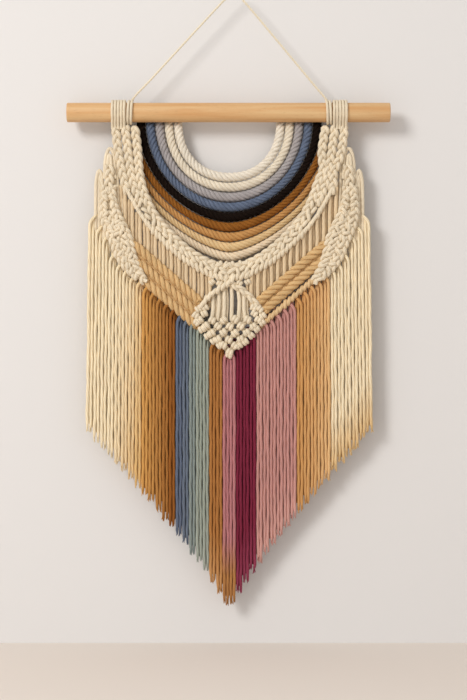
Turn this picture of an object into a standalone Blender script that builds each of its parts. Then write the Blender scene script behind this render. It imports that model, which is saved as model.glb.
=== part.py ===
"""Rainbow wall hanging: knotted cotton cord, twisted ropes and a tasselled fringe on a wooden dowel.

The origin is the point where the hanging cord rests on its nail. +X is to the viewer's right,
+Y is towards the wall and +Z is up. Plan dimensions are millimetres from the textile's centre
line (x) and below the dowel's axis (drop). Depths (y) are millimetres from the dowel's axis.
"""
import bisect
from math import cos, hypot, pi, radians, sin, sqrt

import bmesh
import bpy
from mathutils import Vector

MM = 0.001

# The dowel and the point it hangs from
DOWEL_LENGTH = 400.0
DOWEL_RADIUS = 12.0
DOWEL_SHIFT = -1.0            # the dowel's middle, from the textile's centre line
DOWEL_CHAMFER = 2.0
NAIL_OFFSET = 6.0             # the nail sits right of the centre line
NAIL_RISE = 147.0             # the nail above the dowel's axis

# Cord sizes
HANGING_CORD = 3.2            # diameter
WRAP_TURNS = 1.5              # each end of the hanging cord goes round the dowel
WRAP_STEPS = 16               # points in a turn
WRAP_PITCH = 3.9              # from one turn to the next
FIRST_STRAND = 120.0          # innermost strand over the dowel, from the centre line
LOOP_CORD = 3.4
LOOP_PITCH = 3.7              # from one draped loop to the next
LOOPS = 5                     # draped loops on each side
TOUCH = 0.3                   # gap between pieces that touch
DOWEL_CLEARANCE = 0.45        # between the dowel and the cords that wrap it
LOOP_FOOT = 4.2               # a loop's legs, from the dowel's axis, where they enter the band
LOOP_START = 45               # degrees below level at which a loop leaves the dowel
LOOP_STEP = 30                # degrees from point to point round the dowel

# The arched ropes, innermost first: name and colour
ARCH_ROPES = [
    ("arch_rope_cream_inner", "F0E3C6"), ("arch_rope_cream_outer", "EADBBB"),
    ("arch_rope_grey", "B3A5A0"), ("arch_rope_blue", "6F7C93"), ("arch_rope_black", "1F1713"),
    ("arch_rope_brown", "A8713A"), ("arch_rope_tan", "C9985C"),
    ("arch_rope_light_tan", "D8B27C"), ("arch_rope_pale", "DDC193")]
ARCH_OPENING = 57.7           # half width of the gap inside the ropes, at the dowel
ARCH_DEPTH = 61.2             # depth of that gap, below the dowel's underside
ARCH_SIDE_PITCH = 11.55       # rope to rope at the dowel
ARCH_BASE_PITCH = 12.4        # rope to rope at the bottom of the arch
ARCH_FULLNESS = 2.2           # exponent of the innermost arch, 2 is an ellipse
ARCH_FLATTENING = 0.08        # each rope outwards is that much nearer to a V
ARCH_POINTS = 17
ROPES_ON_DOWEL = 5            # the others end behind the knotted bands
ROPE_TUCK = 3.0               # how far a rope reaches behind a band
ROPE_TOP = 6.0                # rope ends above the dowel's axis, behind it
ROPE_LIFT = 16                # degrees below level where a rope has come round behind the dowel

# Knotted bands: stations of x, drop, width, front and back
BAND_TOP = DOWEL_RADIUS + 6.0
BAND_BACK = 2.5
UPPER_BAND = [
    (132.0, BAND_TOP, 28.0, -7.0, 7.0), (132.0, BAND_TOP + 5.0, 28.5, -7.5, 6.0),
    (128.5, 46.0, 29.0, -8.0, BAND_BACK),
    (123.0, 77.0, 25.5, -8.0, BAND_BACK), (117.5, 96.0, 24.5, -8.0, BAND_BACK),
    (99.0, 131.0, 20.5, -8.0, BAND_BACK), (72.0, 161.0, 18.5, -8.0, BAND_BACK),
    (47.0, 181.5, 18.0, -8.0, BAND_BACK), (21.0, 195.5, 18.0, -8.0, BAND_BACK),
    (8.0, 198.5, 18.0, -8.0, BAND_BACK), (TOUCH / 2, 198.5, 18.0, -8.0, BAND_BACK)]
OUTER_BACK = 1.5
OUTER_BAND = [
    (146.4, 56.0, 7.0, -4.0, 2.0), (148.2, 76.0, 15.5, -6.0, OUTER_BACK),
    (149.0, 96.0, 16.5, -7.0, OUTER_BACK), (149.0, 114.0, 21.0, -7.0, OUTER_BACK),
    (146.0, 130.5, 26.0, -7.0, OUTER_BACK), (139.5, 146.0, 28.0, -7.0, OUTER_BACK),
    (133.0, 160.5, 28.0, -7.0, OUTER_BACK), (129.5, 173.0, 26.0, -7.0, OUTER_BACK),
    (123.0, 186.5, 21.5, -7.0, OUTER_BACK), (114.0, 199.5, 15.0, -6.5, OUTER_BACK),
    (104.5, 211.0, 9.0, -5.5, OUTER_BACK)]
SIDE_LOOPS = [
    (144.9, 49.0, 4.4, -2.1, 2.1), (149.5, 43.0, 6.0, -2.1, 2.1), (155.5, 47.0, 8.0, -2.1, 2.1),
    (159.5, 60.0, 8.6, -2.1, 2.1), (162.0, 80.0, 8.6, -2.1, 2.1), (163.6, 105.0, 8.6, -2.1, 2.1),
    (166.0, 136.5, 8.6, -2.1, 2.1)]
DIAMOND_ARM = [
    (2.2, 213.0, 8.0, -7.0, OUTER_BACK), (16.5, 220.5, 8.0, -7.0, OUTER_BACK),
    (28.5, 231.5, 8.0, -7.0, OUTER_BACK), (36.5, 241.5, 8.0, -7.0, OUTER_BACK)]

# Spacer cords between the upper band and the V ropes
SPACER_CORD = 4.2
SPACERS = {"left": 12, "right": 14}
SPACER_FIRST = 131.0          # outermost spacer cord, from the centre line
SPACER_LAST = 26.0
SPACER_RAIL = 3.0             # the row that ties them, under the band
SPACERS_BELOW = 100.0         # the stretch of the upper band they hang from starts at this drop

# The V ropes: a line from upper end to lower end, then its copies below it
V_ROPE = 12.4                 # diameter
V_EDGE_CORD = 8.2
V_SLOPE = 0.87                # drop for each mm towards the centre line
V_LEAN = sqrt(1 + V_SLOPE ** 2)   # straight drop for each mm square to the ropes
V_FIRST_DROP = 265.9          # where the first rope's line would meet the centre line
V_GAP = 0.2                   # between two ropes
V_EDGE_GAP = 0.94             # between the last right rope and the edge cord under it
V_UPPER_END = {1: 127.0, 2: 121.0, 3: 110.0, "edge": 114.0}
V_LOWER_END = {1: 28.0, 2: 33.0, 3: 33.0, "edge": 34.0}
V_TUCK = 13.5                 # stretch of each end that lies behind a band
V_BEND = 12.0                 # stretch over which it gets there
V_BEND_SHAPE = [(0.3, 0.85), (0.7, 0.15)]   # share of that stretch, share of the way back

# The lattice of square knots at the bottom of the V, its outline and its upright cords
LATTICE = [(0.0, 303.0), (6.0, 298.5), (9.0, 293.0), (21.0, 284.0), (33.0, 271.0),
           (41.0, 259.0), (41.5, 247.5), (34.5, 249.5), (30.0, 252.0), (0.0, 252.0)]
LATTICE_FRONT = -6.0
LATTICE_CORDS = 6
LATTICE_CORD_PITCH = 8.3
LATTICE_CORD = 4.2

# The fringe: groups from left to right with their number of doubled cords and colour
FRINGE = [
    ("cream_left", 8, "E9D7B3"), ("brown", 5, "B0703A"), ("slate", 3, "6B7078"),
    ("sage", 2, "A7AB9C"), ("amber", 2, "C08A50"), ("rose", 2, "B07076"),
    ("plum", 3, "7A2B3B"), ("pink", 6, "BC8480"), ("tan", 5, "C79B6C"), ("cream_right", 6, "E6D2AB")]
FRINGE_PITCH = 8.33           # one doubled cord
FRINGE_DEPTH = 5.0
FRINGE_VALLEY = 1.5           # half depth between two doubled cords
FRINGE_TIP = 614.0            # drop of the longest cords' ends
FRINGE_RISE = 224.0           # the outermost cords end that much higher
FRINGE_CURVE = 0.86           # below 1, the fringe's edge is slightly hollow
HEAD_DEPTH = 12.0             # least height of a fringe head
HINGE_ROUND = [68, 35, 0]     # degrees round a skirt's half-round top, from its crown down
CORNER_REACH = 2.5            # the fringe's upper edge keeps this far from corners above it

# The fringe's upper edge, from the centre line out: x and drop, or x and drop under the V ropes
HEM_UNDER_LATTICE = [(0.0, 304.0), (8.0, 295.3), (22.0, 286.0), (34.0, 272.5), (41.5, 263.5)]
HEM_UNDER_ROPES = [(56.0, 0.8), (100.0, 2.0), (112.0, 2.4)]
HEM_UNDER_BANDS = [(124.0, 203.0), (138.0, 190.0), (147.0, 177.0), (152.0, 160.0),
                   (162.0, 146.0), (175.0, 126.5)]


def clear_scene():
    for old in list(bpy.data.objects):
        bpy.data.objects.remove(old, do_unlink=True)


def material(name, colour, roughness):
    """A Principled material from an sRGB hex colour."""
    found = bpy.data.materials.get(name)
    if found:
        return found
    made = bpy.data.materials.new(name)
    made.use_nodes = True
    channels = [int(colour[i:i + 2], 16) / 255 for i in (0, 2, 4)]
    linear = [c / 12.92 if c <= 0.04045 else ((c + 0.055) / 1.055) ** 2.4 for c in channels]
    shader = made.node_tree.nodes["Principled BSDF"]
    shader.inputs["Base Color"].default_value = (*linear, 1.0)
    shader.inputs["Roughness"].default_value = roughness
    shader.inputs["Metallic"].default_value = 0.0
    made.diffuse_color = (*linear, 1.0)
    return made


def place(obj, parent, finish):
    bpy.context.collection.objects.link(obj)
    obj.parent = parent
    obj.data.materials.append(finish)
    return obj


def empty(name, location, parent=None):
    made = bpy.data.objects.new(name, None)
    made.location = location
    made.parent = parent
    bpy.context.collection.objects.link(made)
    return made


def mesh_object(name, bm, parent, finish, smooth_angle=None):
    bmesh.ops.recalc_face_normals(bm, faces=bm.faces)
    data = bpy.data.meshes.new(name)
    bm.to_mesh(data)
    bm.free()
    if smooth_angle:
        data.shade_smooth()
        data.set_sharp_from_angle(angle=smooth_angle)
    return place(bpy.data.objects.new(name, data), parent, finish)


def tube(name, points, diameter, parent, finish, scales=None, sides=2):
    """A round cord along points in mm, x, y and z; scales swell or narrow it point by point."""
    data = bpy.data.curves.new(name, "CURVE")
    data.dimensions = "3D"
    data.bevel_depth = diameter / 2 * MM
    data.bevel_resolution = sides
    data.render_resolution_u = 0
    data.use_fill_caps = True
    spline = data.splines.new("POLY")
    spline.points.add(len(points) - 1)
    for index, point in enumerate(points):
        spline.points[index].co = (point[0] * MM, point[1] * MM, point[2] * MM, 1.0)
        spline.points[index].radius = scales[index] if scales else 1.0
    return place(bpy.data.objects.new(name, data), parent, finish)


def along(table, x):
    """The value at x on a polyline of (x, value) pairs sorted by x."""
    keys = [row[0] for row in table]
    upper = min(max(bisect.bisect(keys, x), 1), len(keys) - 1)
    (x0, v0), (x1, v1) = table[upper - 1], table[upper]
    return v0 + (v1 - v0) * (x - x0) / (x1 - x0)


def smooth_path(stations, steps):
    """A Catmull-Rom curve through stations, each a tuple of numbers."""
    rows = [Vector(row) for row in stations]
    padded = [rows[0] * 2 - rows[1], *rows, rows[-1] * 2 - rows[-2]]
    path = []
    for index in range(len(rows) - 1):
        a, b, c, d = padded[index:index + 4]
        for step in range(steps):
            t = step / steps
            path.append((b * 2 + (c - a) * t + (a * 2 - b * 5 + c * 4 - d) * t * t
                         + (b * 3 - a - c * 3 + d) * t ** 3) / 2)
    path.append(rows[-1])
    return path


def even_points(points, count):
    """The same polyline with evenly spaced points."""
    travelled = [0.0]
    for start, end in zip(points, points[1:]):
        travelled.append(travelled[-1] + (Vector(end) - Vector(start)).length)
    result = []
    for index in range(count):
        distance = travelled[-1] * index / (count - 1)
        upper = min(max(bisect.bisect(travelled, distance), 1), len(points) - 1)
        share = (distance - travelled[upper - 1]) / (travelled[upper] - travelled[upper - 1])
        result.append(Vector(points[upper - 1]).lerp(Vector(points[upper]), share))
    return result


def station_side(path, index):
    """The unit normal in the plane of the textile, to the right of a path's direction."""
    before = path[max(index - 1, 0)]
    after = path[min(index + 1, len(path) - 1)]
    run_x, run_drop = after[0] - before[0], after[1] - before[1]
    size = hypot(run_x, run_drop)
    return run_drop / size, -run_x / size


def band_edges(stations):
    """The edges right and left of a band's direction, as (x, drop) points.

    A band that runs down has its outer edge first. An arm that runs outwards has its upper edge
    first.
    """
    outer, inner = [], []
    for index, row in enumerate(stations):
        side_x, side_drop = station_side(stations, index)
        half = row[2] / 2
        outer.append((row[0] + side_x * half, row[1] + side_drop * half))
        inner.append((row[0] - side_x * half, row[1] - side_drop * half))
    return outer, inner


def upper_band_path(steps):
    """The upper band's stations, with square ends under the loops and on the centre line."""
    return [Vector(UPPER_BAND[0]), *smooth_path(UPPER_BAND[1:-1], steps), Vector(UPPER_BAND[-1])]


def band(name, stations, mirror, parent, finish):
    """A flat band with chamfered edges through stations of x, drop, width, front and back."""
    bm = bmesh.new()
    loops = []
    for index, (x, drop, width, front, back) in enumerate(stations):
        side_x, side_drop = station_side(stations, index)
        half, chamfer = width / 2, min(0.28 * (back - front), 0.3 * width)
        ring = [(-half + chamfer, front), (half - chamfer, front), (half, front + chamfer),
                (half, back - chamfer), (half - chamfer, back), (-half + chamfer, back),
                (-half, back - chamfer), (-half, front + chamfer)]
        verts = [bm.verts.new((mirror * (x + side_x * a) * MM, y * MM, -(drop + side_drop * a) * MM))
                 for a, y in ring]
        loops.append([bm.edges.new((verts[i - 1], verts[i])) for i in range(len(verts))])
    for first, second in zip(loops, loops[1:]):
        bmesh.ops.bridge_loops(bm, edges=first + second)
    for end in (loops[0], loops[-1]):
        bmesh.ops.contextual_create(bm, geom=end)
    return mesh_object(name, bm, parent, finish, radians(30))


def plate(name, outline, front, back, parent, finish):
    """A flat outline of (x, drop) points, extruded from front to back."""
    bm = bmesh.new()
    face = bm.faces.new([bm.verts.new((x * MM, front * MM, -drop * MM)) for x, drop in outline])
    grown = bmesh.ops.extrude_face_region(bm, geom=[face])["geom"]
    moved = [item for item in grown if isinstance(item, bmesh.types.BMVert)]
    bmesh.ops.translate(bm, verts=moved, vec=(0.0, (back - front) * MM, 0.0))
    return mesh_object(name, bm, parent, finish)


def make_dowel(parent):
    bm = bmesh.new()
    bmesh.ops.create_cone(bm, cap_ends=True, segments=32, radius1=DOWEL_RADIUS * MM,
                          radius2=DOWEL_RADIUS * MM, depth=DOWEL_LENGTH * MM)
    bmesh.ops.rotate(bm, verts=bm.verts, matrix=Vector((0, 0, 1)).rotation_difference(
        Vector((1, 0, 0))).to_matrix())
    bmesh.ops.translate(bm, verts=bm.verts, vec=(DOWEL_SHIFT * MM, 0.0, 0.0))
    rims = [edge for edge in bm.edges
            if abs(edge.verts[0].co.x - edge.verts[1].co.x) < 1e-6]
    bmesh.ops.bevel(bm, geom=rims, offset=DOWEL_CHAMFER * MM, segments=2, profile=0.5,
                    affect="EDGES", material=-1)
    mesh_object("dowel", bm, parent, material("beech", "D9AC73", 0.55), radians(30))


def make_hanging_cord(nail, axis):
    """The cord over the nail, and its two turns round the dowel at each side."""
    twine = material("cotton_twine", "EADFC8", 0.9)
    foot = DOWEL_RADIUS + DOWEL_CLEARANCE + HANGING_CORD + TOUCH
    side, peak = FIRST_STRAND, NAIL_RISE + HANGING_CORD / 2
    route = [(-side, foot), (-side + 0.6, foot + 2.0), (-side + 4.0, foot + 6.5),
             (-100.0, 37.7), (-75.0, 64.9), (-50.0, 92.1), (-25.0, 119.2), (-9.0, 136.4),
             (-2.5, 142.9), (NAIL_OFFSET - 4.2, peak - 1.3), (NAIL_OFFSET, peak),
             (NAIL_OFFSET + 4.0, peak - 1.4), (14.0, 142.2), (20.0, 135.8), (40.0, 112.1),
             (62.0, 85.7), (85.0, 58.0), (104.0, 35.2), (side - 3.6, foot + 6.2),
             (side - 0.5, foot + 2.0), (side, foot)]
    points = [(x - NAIL_OFFSET, 0.0, rise - NAIL_RISE) for x, rise in route]
    tube("hanging_cord", points, HANGING_CORD, nail, twine)
    reach = (DOWEL_RADIUS + DOWEL_CLEARANCE + HANGING_CORD / 2) / cos(pi / WRAP_STEPS)
    for name, mirror in (("left", -1), ("right", 1)):
        coil = []
        for step in range(round(WRAP_TURNS * WRAP_STEPS) + 1):
            turn = step / WRAP_STEPS
            angle = 2 * pi * turn
            x = FIRST_STRAND + WRAP_PITCH * turn
            coil.append((mirror * x, -reach * sin(angle), reach * cos(angle)))
        obj = tube(f"hanging_cord_wrap_{name}", coil, HANGING_CORD, nail, twine)
        obj.location = axis.location


def make_draped_loops(axis):
    """Cords folded over the dowel; both legs run into the top of a knotted band."""
    cotton = material("cotton_cord", "EFE2C6", 0.9)
    reach = (DOWEL_RADIUS + DOWEL_CLEARANCE + LOOP_CORD / 2) / cos(radians(LOOP_STEP / 2))
    turns = [radians(angle) for angle in range(-LOOP_START, 181 + LOOP_START, LOOP_STEP)]
    arc = [(-reach * cos(angle), reach * sin(angle)) for angle in turns]
    foot = TOUCH - BAND_TOP
    leg = [(-LOOP_FOOT, foot), (-LOOP_FOOT, foot + LOOP_CORD / 2)]
    profile = leg + arc + [(-y, z) for y, z in reversed(leg)]
    first = FIRST_STRAND + WRAP_PITCH * WRAP_TURNS + (HANGING_CORD + LOOP_CORD) / 2 + TOUCH
    for name, mirror in (("left", -1), ("right", 1)):
        for number in range(LOOPS):
            x = mirror * (first + LOOP_PITCH * number)
            points = [(x, y, z) for y, z in profile]
            tube(f"draped_loop_{name}_{number + 1}", points, LOOP_CORD, axis, cotton)


def arch_line(index):
    """The centre line of one arched rope as (x, drop) points, from right to left."""
    rank = index + 0.5
    half = ARCH_OPENING + ARCH_SIDE_PITCH * rank
    depth = ARCH_DEPTH + ARCH_BASE_PITCH * rank
    power = 2 / (ARCH_FULLNESS - ARCH_FLATTENING * rank)
    line = []
    for step in range(121):
        angle = pi * step / 120
        across = half * abs(cos(angle)) ** power
        line.append((across if angle < pi / 2 else -across,
                     DOWEL_RADIUS + depth * max(sin(angle), 0.0) ** power))
    return line


def nearest(point, line):
    """Distance from a point to a polyline, in the plane."""
    best = 1e9
    for (x0, d0), (x1, d1) in zip(line, line[1:]):
        run_x, run_d = x1 - x0, d1 - d0
        size = run_x * run_x + run_d * run_d
        share = ((point[0] - x0) * run_x + (point[1] - d0) * run_d) / size if size else 0.0
        share = min(max(share, 0.0), 1.0)
        best = min(best, hypot(point[0] - x0 - run_x * share, point[1] - d0 - run_d * share))
    return best


def make_arch_ropes(axis):
    """Nine nested ropes: five reach the back of the dowel, four end behind the bands."""
    lines = [arch_line(index) for index in range(len(ARCH_ROPES))]
    inner_edge = [(drop, x) for x, drop in band_edges(upper_band_path(4))[1]]
    thickest = ARCH_BASE_PITCH - TOUCH
    layer = BAND_BACK + TOUCH + thickest / 2
    for index, (name, colour) in enumerate(ARCH_ROPES):
        line = lines[index]
        on_dowel = index < ROPES_ON_DOWEL
        if not on_dowel:
            line = [(x, drop) for x, drop in line
                    if drop > BAND_TOP + 20 and abs(x) < along(inner_edge, drop) + ROPE_TUCK]
        line = [tuple(point) for point in even_points(line, ARCH_POINTS)]
        around = DOWEL_RADIUS + DOWEL_CLEARANCE + ARCH_SIDE_PITCH / 2
        points, scales = [], []
        for x, drop in line:
            gap = min(nearest((x, drop), lines[other]) for other in (index - 1, index + 1)
                      if 0 <= other < len(lines))
            behind = sqrt(max(around ** 2 - drop ** 2, 0.0)) if on_dowel else 0.0
            points.append((x, max(layer, behind), -drop))
            scales.append(min((gap - TOUCH) / thickest, 1.0))
        if on_dowel:
            low = radians(ROPE_LIFT)
            lift = [(around * cos(low), -around * sin(low)), (around, 0.0), (around, ROPE_TOP)]
            first, last = line[0][0], line[-1][0]
            points = ([(first, y, z) for y, z in reversed(lift)] + points
                      + [(last, y, z) for y, z in lift])
            scales = scales[:1] * len(lift) + scales + scales[-1:] * len(lift)
        tube(name, points, thickest, axis, material(name, colour, 0.9), scales)


def make_bands(axis):
    cotton = material("cotton_cord", "EFE2C6", 0.9)
    pieces = (("upper_band", upper_band_path(3)), ("outer_band", smooth_path(OUTER_BAND, 2)),
              ("side_loops", smooth_path(SIDE_LOOPS, 2)), ("diamond_arm", DIAMOND_ARM))
    for name, mirror in (("left", -1), ("right", 1)):
        for piece, path in pieces:
            band(f"{piece}_{name}", path, mirror, axis, cotton)


def v_drop(number, x):
    """Drop of a V rope's centre line at a distance from the textile's centre line."""
    pitch = V_ROPE + V_GAP
    below = {1: 0.0, 2: pitch, 3: 2 * pitch,
             "edge": pitch + (V_ROPE + V_EDGE_CORD) / 2 + V_EDGE_GAP}
    return V_FIRST_DROP - V_SLOPE * x + below[number] * V_LEAN


def make_spacers(axis):
    """A row of upright cords on each side, tied to the band above and ending on the V ropes."""
    cotton = material("cotton_cord", "EFE2C6", 0.9)
    over = [row for row in upper_band_path(3) if row[1] > SPACERS_BELOW]
    rails = []
    for depth in (0.0, SPACER_RAIL):
        wider = [(row[0], row[1], row[2] + 2 * (TOUCH + depth)) for row in over]
        rails.append(sorted(point for point in band_edges(wider)[0] if point[0] > 0.0))
    rail_top, rail_low = rails
    stop = sorted(band_edges(smooth_path(OUTER_BAND, 2))[1])
    arm_top = sorted(band_edges(DIAMOND_ARM)[0])
    for name, mirror in (("left", -1), ("right", 1)):
        teeth = []
        count = SPACERS[name]
        for number in range(count):
            x = SPACER_LAST + (SPACER_FIRST - SPACER_LAST) * number / (count - 1)
            for edge in (x - SPACER_CORD / 2, x + SPACER_CORD / 2):
                floor = v_drop(1, edge) - (V_ROPE / 2 + TOUCH) * V_LEAN
                if edge > stop[0][0]:
                    floor = min(floor, along(stop, edge) - 2 * TOUCH)
                if edge < DIAMOND_ARM[-1][0]:
                    floor = min(floor, along(arm_top, edge) - 2 * TOUCH)
                teeth.append((edge, floor))
        outline = []
        for left, right in zip(teeth[::2], teeth[1::2]):
            outline += [(left[0], along(rail_low, left[0])), left, right,
                        (right[0], along(rail_low, right[0]))]
        first, last = outline[0][0], outline[-1][0]
        outline.append((last, along(rail_top, last)))
        outline += [point for point in reversed(rail_top) if first < point[0] < last]
        outline.append((first, along(rail_top, first)))
        outline = [(mirror * x, drop) for x, drop in outline]
        half = SPACER_CORD / 2
        plate(f"spacer_cords_{name}", outline, -half, half, axis, cotton)


def make_v_ropes(axis):
    """Slanting ropes whose ends pass behind the outer band and behind the centre diamond."""
    rope = material("cotton_rope_tan", "D9B98A", 0.9)
    pieces = [("v_rope_left_1", 1, -1, V_ROPE), ("v_rope_left_2", 2, -1, V_ROPE),
              ("v_rope_left_3", 3, -1, V_ROPE), ("v_rope_right_1", 1, 1, V_ROPE),
              ("v_rope_right_2", 2, 1, V_ROPE), ("v_edge_cord_right", "edge", 1, V_EDGE_CORD)]
    for name, number, mirror, diameter in pieces:
        top, bottom = V_UPPER_END[number], V_LOWER_END[number]
        tucked = OUTER_BACK + TOUCH + diameter / 2
        bend = [(0.0, tucked), (V_TUCK, tucked), (V_TUCK + V_BEND, 0.0)]
        bend[2:2] = [(V_TUCK + V_BEND * run, tucked * back) for run, back in V_BEND_SHAPE]
        route = [(top - run, y) for run, y in bend]
        route += [(bottom + run, y) for run, y in reversed(bend)]
        points = [(mirror * x, y, -v_drop(number, x)) for x, y in route]
        tube(name, points, diameter, axis, rope)


def make_lattice(axis):
    """The block of square knots at the bottom, with upright cords rising to the two arms."""
    cotton = material("cotton_cord", "EFE2C6", 0.9)
    under = sorted(band_edges(DIAMOND_ARM)[1])
    half = LATTICE_CORD / 2
    top = LATTICE[-1][1]
    outline = LATTICE[:-1]
    cords = []
    for number in range(LATTICE_CORDS):
        x = LATTICE_CORD_PITCH * ((LATTICE_CORDS - 1) / 2 - number)
        for edge in (x + half, x - half):
            cords.append((edge, along(under, max(abs(edge), under[0][0])) + 2 * TOUCH))
    for right, left in zip(cords[::2], cords[1::2]):
        outline += [(right[0], top), right, left, (left[0], top)]
    outline += [(-x, drop) for x, drop in reversed(LATTICE[1:-1])]
    plate("centre_lattice", outline, LATTICE_FRONT, OUTER_BACK, axis, cotton)


def fringe_end(x):
    """Drop of the fringe's lower edge."""
    outermost = FRINGE_PITCH * sum(group[1] for group in FRINGE) / 2
    return FRINGE_TIP - FRINGE_RISE * (abs(x) / outermost) ** FRINGE_CURVE


def hem_drop(x):
    """Drop of the fringe's upper edge, kept clear of the corners of what is above it."""
    ropes = [(end, v_drop(3, end) + V_ROPE / 2 * V_LEAN + below) for end, below in HEM_UNDER_ROPES]
    hem = HEM_UNDER_LATTICE + ropes + HEM_UNDER_BANDS
    return max(along(hem, min(abs(x + shift), hem[-1][0]))
               for shift in (-CORNER_REACH, 0.0, CORNER_REACH))


def fluted_sheet(columns):
    """A strip of faces whose two long sides are fluted: (x, half depth) for each column."""
    bm = bmesh.new()
    bmesh.ops.create_grid(bm, x_segments=len(columns) - 1, y_segments=1, size=1.0)
    for vert in bm.verts:
        x, half = columns[round((vert.co.x + 1) / 2 * (len(columns) - 1))]
        vert.co = (x * MM, half * MM * (1 if vert.co.y > 0 else -1), 0.0)
    return bm


def extend(bm, faces, move, keep=True):
    """Extrude the faces to where move sends their vertices, and return the new faces.

    The faces themselves stay where they close the body's end, and go where they lie inside it.
    """
    grown = bmesh.ops.extrude_face_region(bm, geom=faces)["geom"]
    for vert in (item for item in grown if isinstance(item, bmesh.types.BMVert)):
        vert.co = move(vert.co)
    if not keep:
        bmesh.ops.delete(bm, geom=faces, context="FACES")
    return [item for item in grown if isinstance(item, bmesh.types.BMFace)]


def make_fringe(axis):
    """Each colour has a head, tied to the textile, and a skirt that swings below it."""
    total = sum(group[1] for group in FRINGE)
    left = -FRINGE_PITCH * total / 2
    round_over = FRINGE_DEPTH / 2
    for name, count, colour in FRINGE:
        finish = material(f"cotton_{name}", colour, 0.9)
        right = left + FRINGE_PITCH * count
        columns = [(left + TOUCH / 2, FRINGE_VALLEY)]
        for number in range(count):
            start = left + FRINGE_PITCH * number
            columns += [(start + FRINGE_PITCH * share, depth) for share, depth in
                        ((0.24, round_over), (0.76, round_over), (1.0, FRINGE_VALLEY))]
        columns[-1] = (right - TOUCH / 2, FRINGE_VALLEY)
        hinge = max(hem_drop(x) for x, _ in columns) + HEAD_DEPTH
        low = hinge - round_over - TOUCH
        bm = fluted_sheet(columns)
        bmesh.ops.translate(bm, verts=bm.verts, vec=(0.0, 0.0, -low * MM))
        extend(bm, bm.faces[:], lambda co: (co.x, co.y, -hem_drop(co.x / MM) * MM))
        mesh_object(f"fringe_head_{name}", bm, axis, finish)
        levels = [(cos(radians(a)), round_over * sin(radians(a)) * MM) for a in HINGE_ROUND]
        crown = levels[0]
        bm = fluted_sheet([(x, half * crown[0]) for x, half in columns])
        bmesh.ops.translate(bm, verts=bm.verts, vec=(0.0, 0.0, crown[1]))
        faces, above = bm.faces[:], crown
        for level in levels[1:]:
            widen = level[0] / above[0]
            faces = extend(bm, faces, lambda co: (co.x, co.y * widen, level[1]), above is crown)
            above = level
        extend(bm, faces, lambda co: (co.x, co.y, (hinge - fringe_end(co.x / MM)) * MM), False)
        pivot = empty(f"fringe_pivot_{name}", (0.0, 0.0, -hinge * MM), axis)
        mesh_object(f"fringe_skirt_{name}", bm, pivot, finish)
        left = right


def main():
    clear_scene()
    nail = empty("nail_point", (0.0, 0.0, 0.0))
    axis = empty("dowel_axis", (-NAIL_OFFSET * MM, 0.0, -NAIL_RISE * MM))
    make_dowel(axis)
    make_hanging_cord(nail, axis)
    make_draped_loops(axis)
    make_arch_ropes(axis)
    make_bands(axis)
    make_spacers(axis)
    make_v_ropes(axis)
    make_lattice(axis)
    make_fringe(axis)


main()
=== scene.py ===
"""Rainbow wall hanging: the looks of its knotted cotton cord, twisted ropes, fringe and dowel.

Plan dimensions are millimetres: x from the textile's centre line, drop below the dowel's axis,
y towards the wall from the dowel's axis. cloth_point turns them to the frame's coordinates.
"""
import bisect
import random
from math import cos, exp, hypot, pi, radians, sin, sqrt

import bmesh
import bpy
import numpy as np
from mathutils import Matrix, Vector


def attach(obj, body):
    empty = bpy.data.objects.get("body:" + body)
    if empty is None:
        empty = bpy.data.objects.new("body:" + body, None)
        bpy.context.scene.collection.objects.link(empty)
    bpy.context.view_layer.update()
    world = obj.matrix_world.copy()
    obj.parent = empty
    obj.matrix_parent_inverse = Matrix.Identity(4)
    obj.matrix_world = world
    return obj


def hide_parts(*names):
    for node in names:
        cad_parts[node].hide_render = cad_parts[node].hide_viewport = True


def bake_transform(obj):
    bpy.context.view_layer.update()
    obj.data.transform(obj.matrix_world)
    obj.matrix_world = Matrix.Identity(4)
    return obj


bl_info = {
    "name": "Rainbow wall hanging",
    "version": (1, 0, 0),
    "blender": (4, 5, 0),
    "location": "3D View > Sidebar > Wall hanging",
    "description": "Builds a knotted cord wall hanging with arched ropes and a dyed fringe",
    "category": "Add Mesh",
}

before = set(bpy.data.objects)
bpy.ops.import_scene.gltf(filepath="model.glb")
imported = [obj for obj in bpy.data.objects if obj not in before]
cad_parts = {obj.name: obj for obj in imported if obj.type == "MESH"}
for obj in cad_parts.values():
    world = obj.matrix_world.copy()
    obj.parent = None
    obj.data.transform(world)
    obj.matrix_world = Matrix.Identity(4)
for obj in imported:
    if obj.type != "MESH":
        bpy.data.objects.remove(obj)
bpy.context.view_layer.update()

MM = 0.001
OUT = Vector((0.0, -1.0, 0.0))        # from the wall to the viewer
UP = Vector((0.0, 0.0, 1.0))

# Where the textile hangs in the frame, whose origin is the nail
NAIL_OFFSET = 6.0
NAIL_RISE = 147.0
DOWEL_SHIFT = -1.0
DOWEL_CLEARANCE = 0.45

# The cords over the dowel
HANGING_CORD = 3.2
WRAP_TURNS = 1.5
WRAP_PITCH = 3.9
WRAP_STEPS = 48                       # points to a turn
FIRST_STRAND = 120.0
LOOP_CORD = 3.4
LOOP_PITCH = 3.7
LOOPS = 5
LOOP_FOOT = 4.2
TOUCH = 0.3

# The arched ropes, innermost first, with their dyes
ARCH_ROPES = [
    ("cream_inner", "FBF4E7"), ("cream_outer", "F9F0DF"), ("grey", "C4BFBF"), ("blue", "7C89A0"),
    ("black", "20130B"), ("brown", "AC7331"), ("tan", "DEB073"), ("light_tan", "F5DBAE"),
    ("pale", "FCECD3")]
ARCH_OPENING = 57.7
ARCH_DEPTH = 61.2
ARCH_SIDE_PITCH = 11.55
ARCH_BASE_PITCH = 12.4
ARCH_FULLNESS = 2.2
ARCH_FLATTENING = 0.08
ROPES_ON_DOWEL = 5
ROPE_TUCK = 3.0
ROPE_TOP = 6.0
ROPE_LIFT = 16

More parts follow.
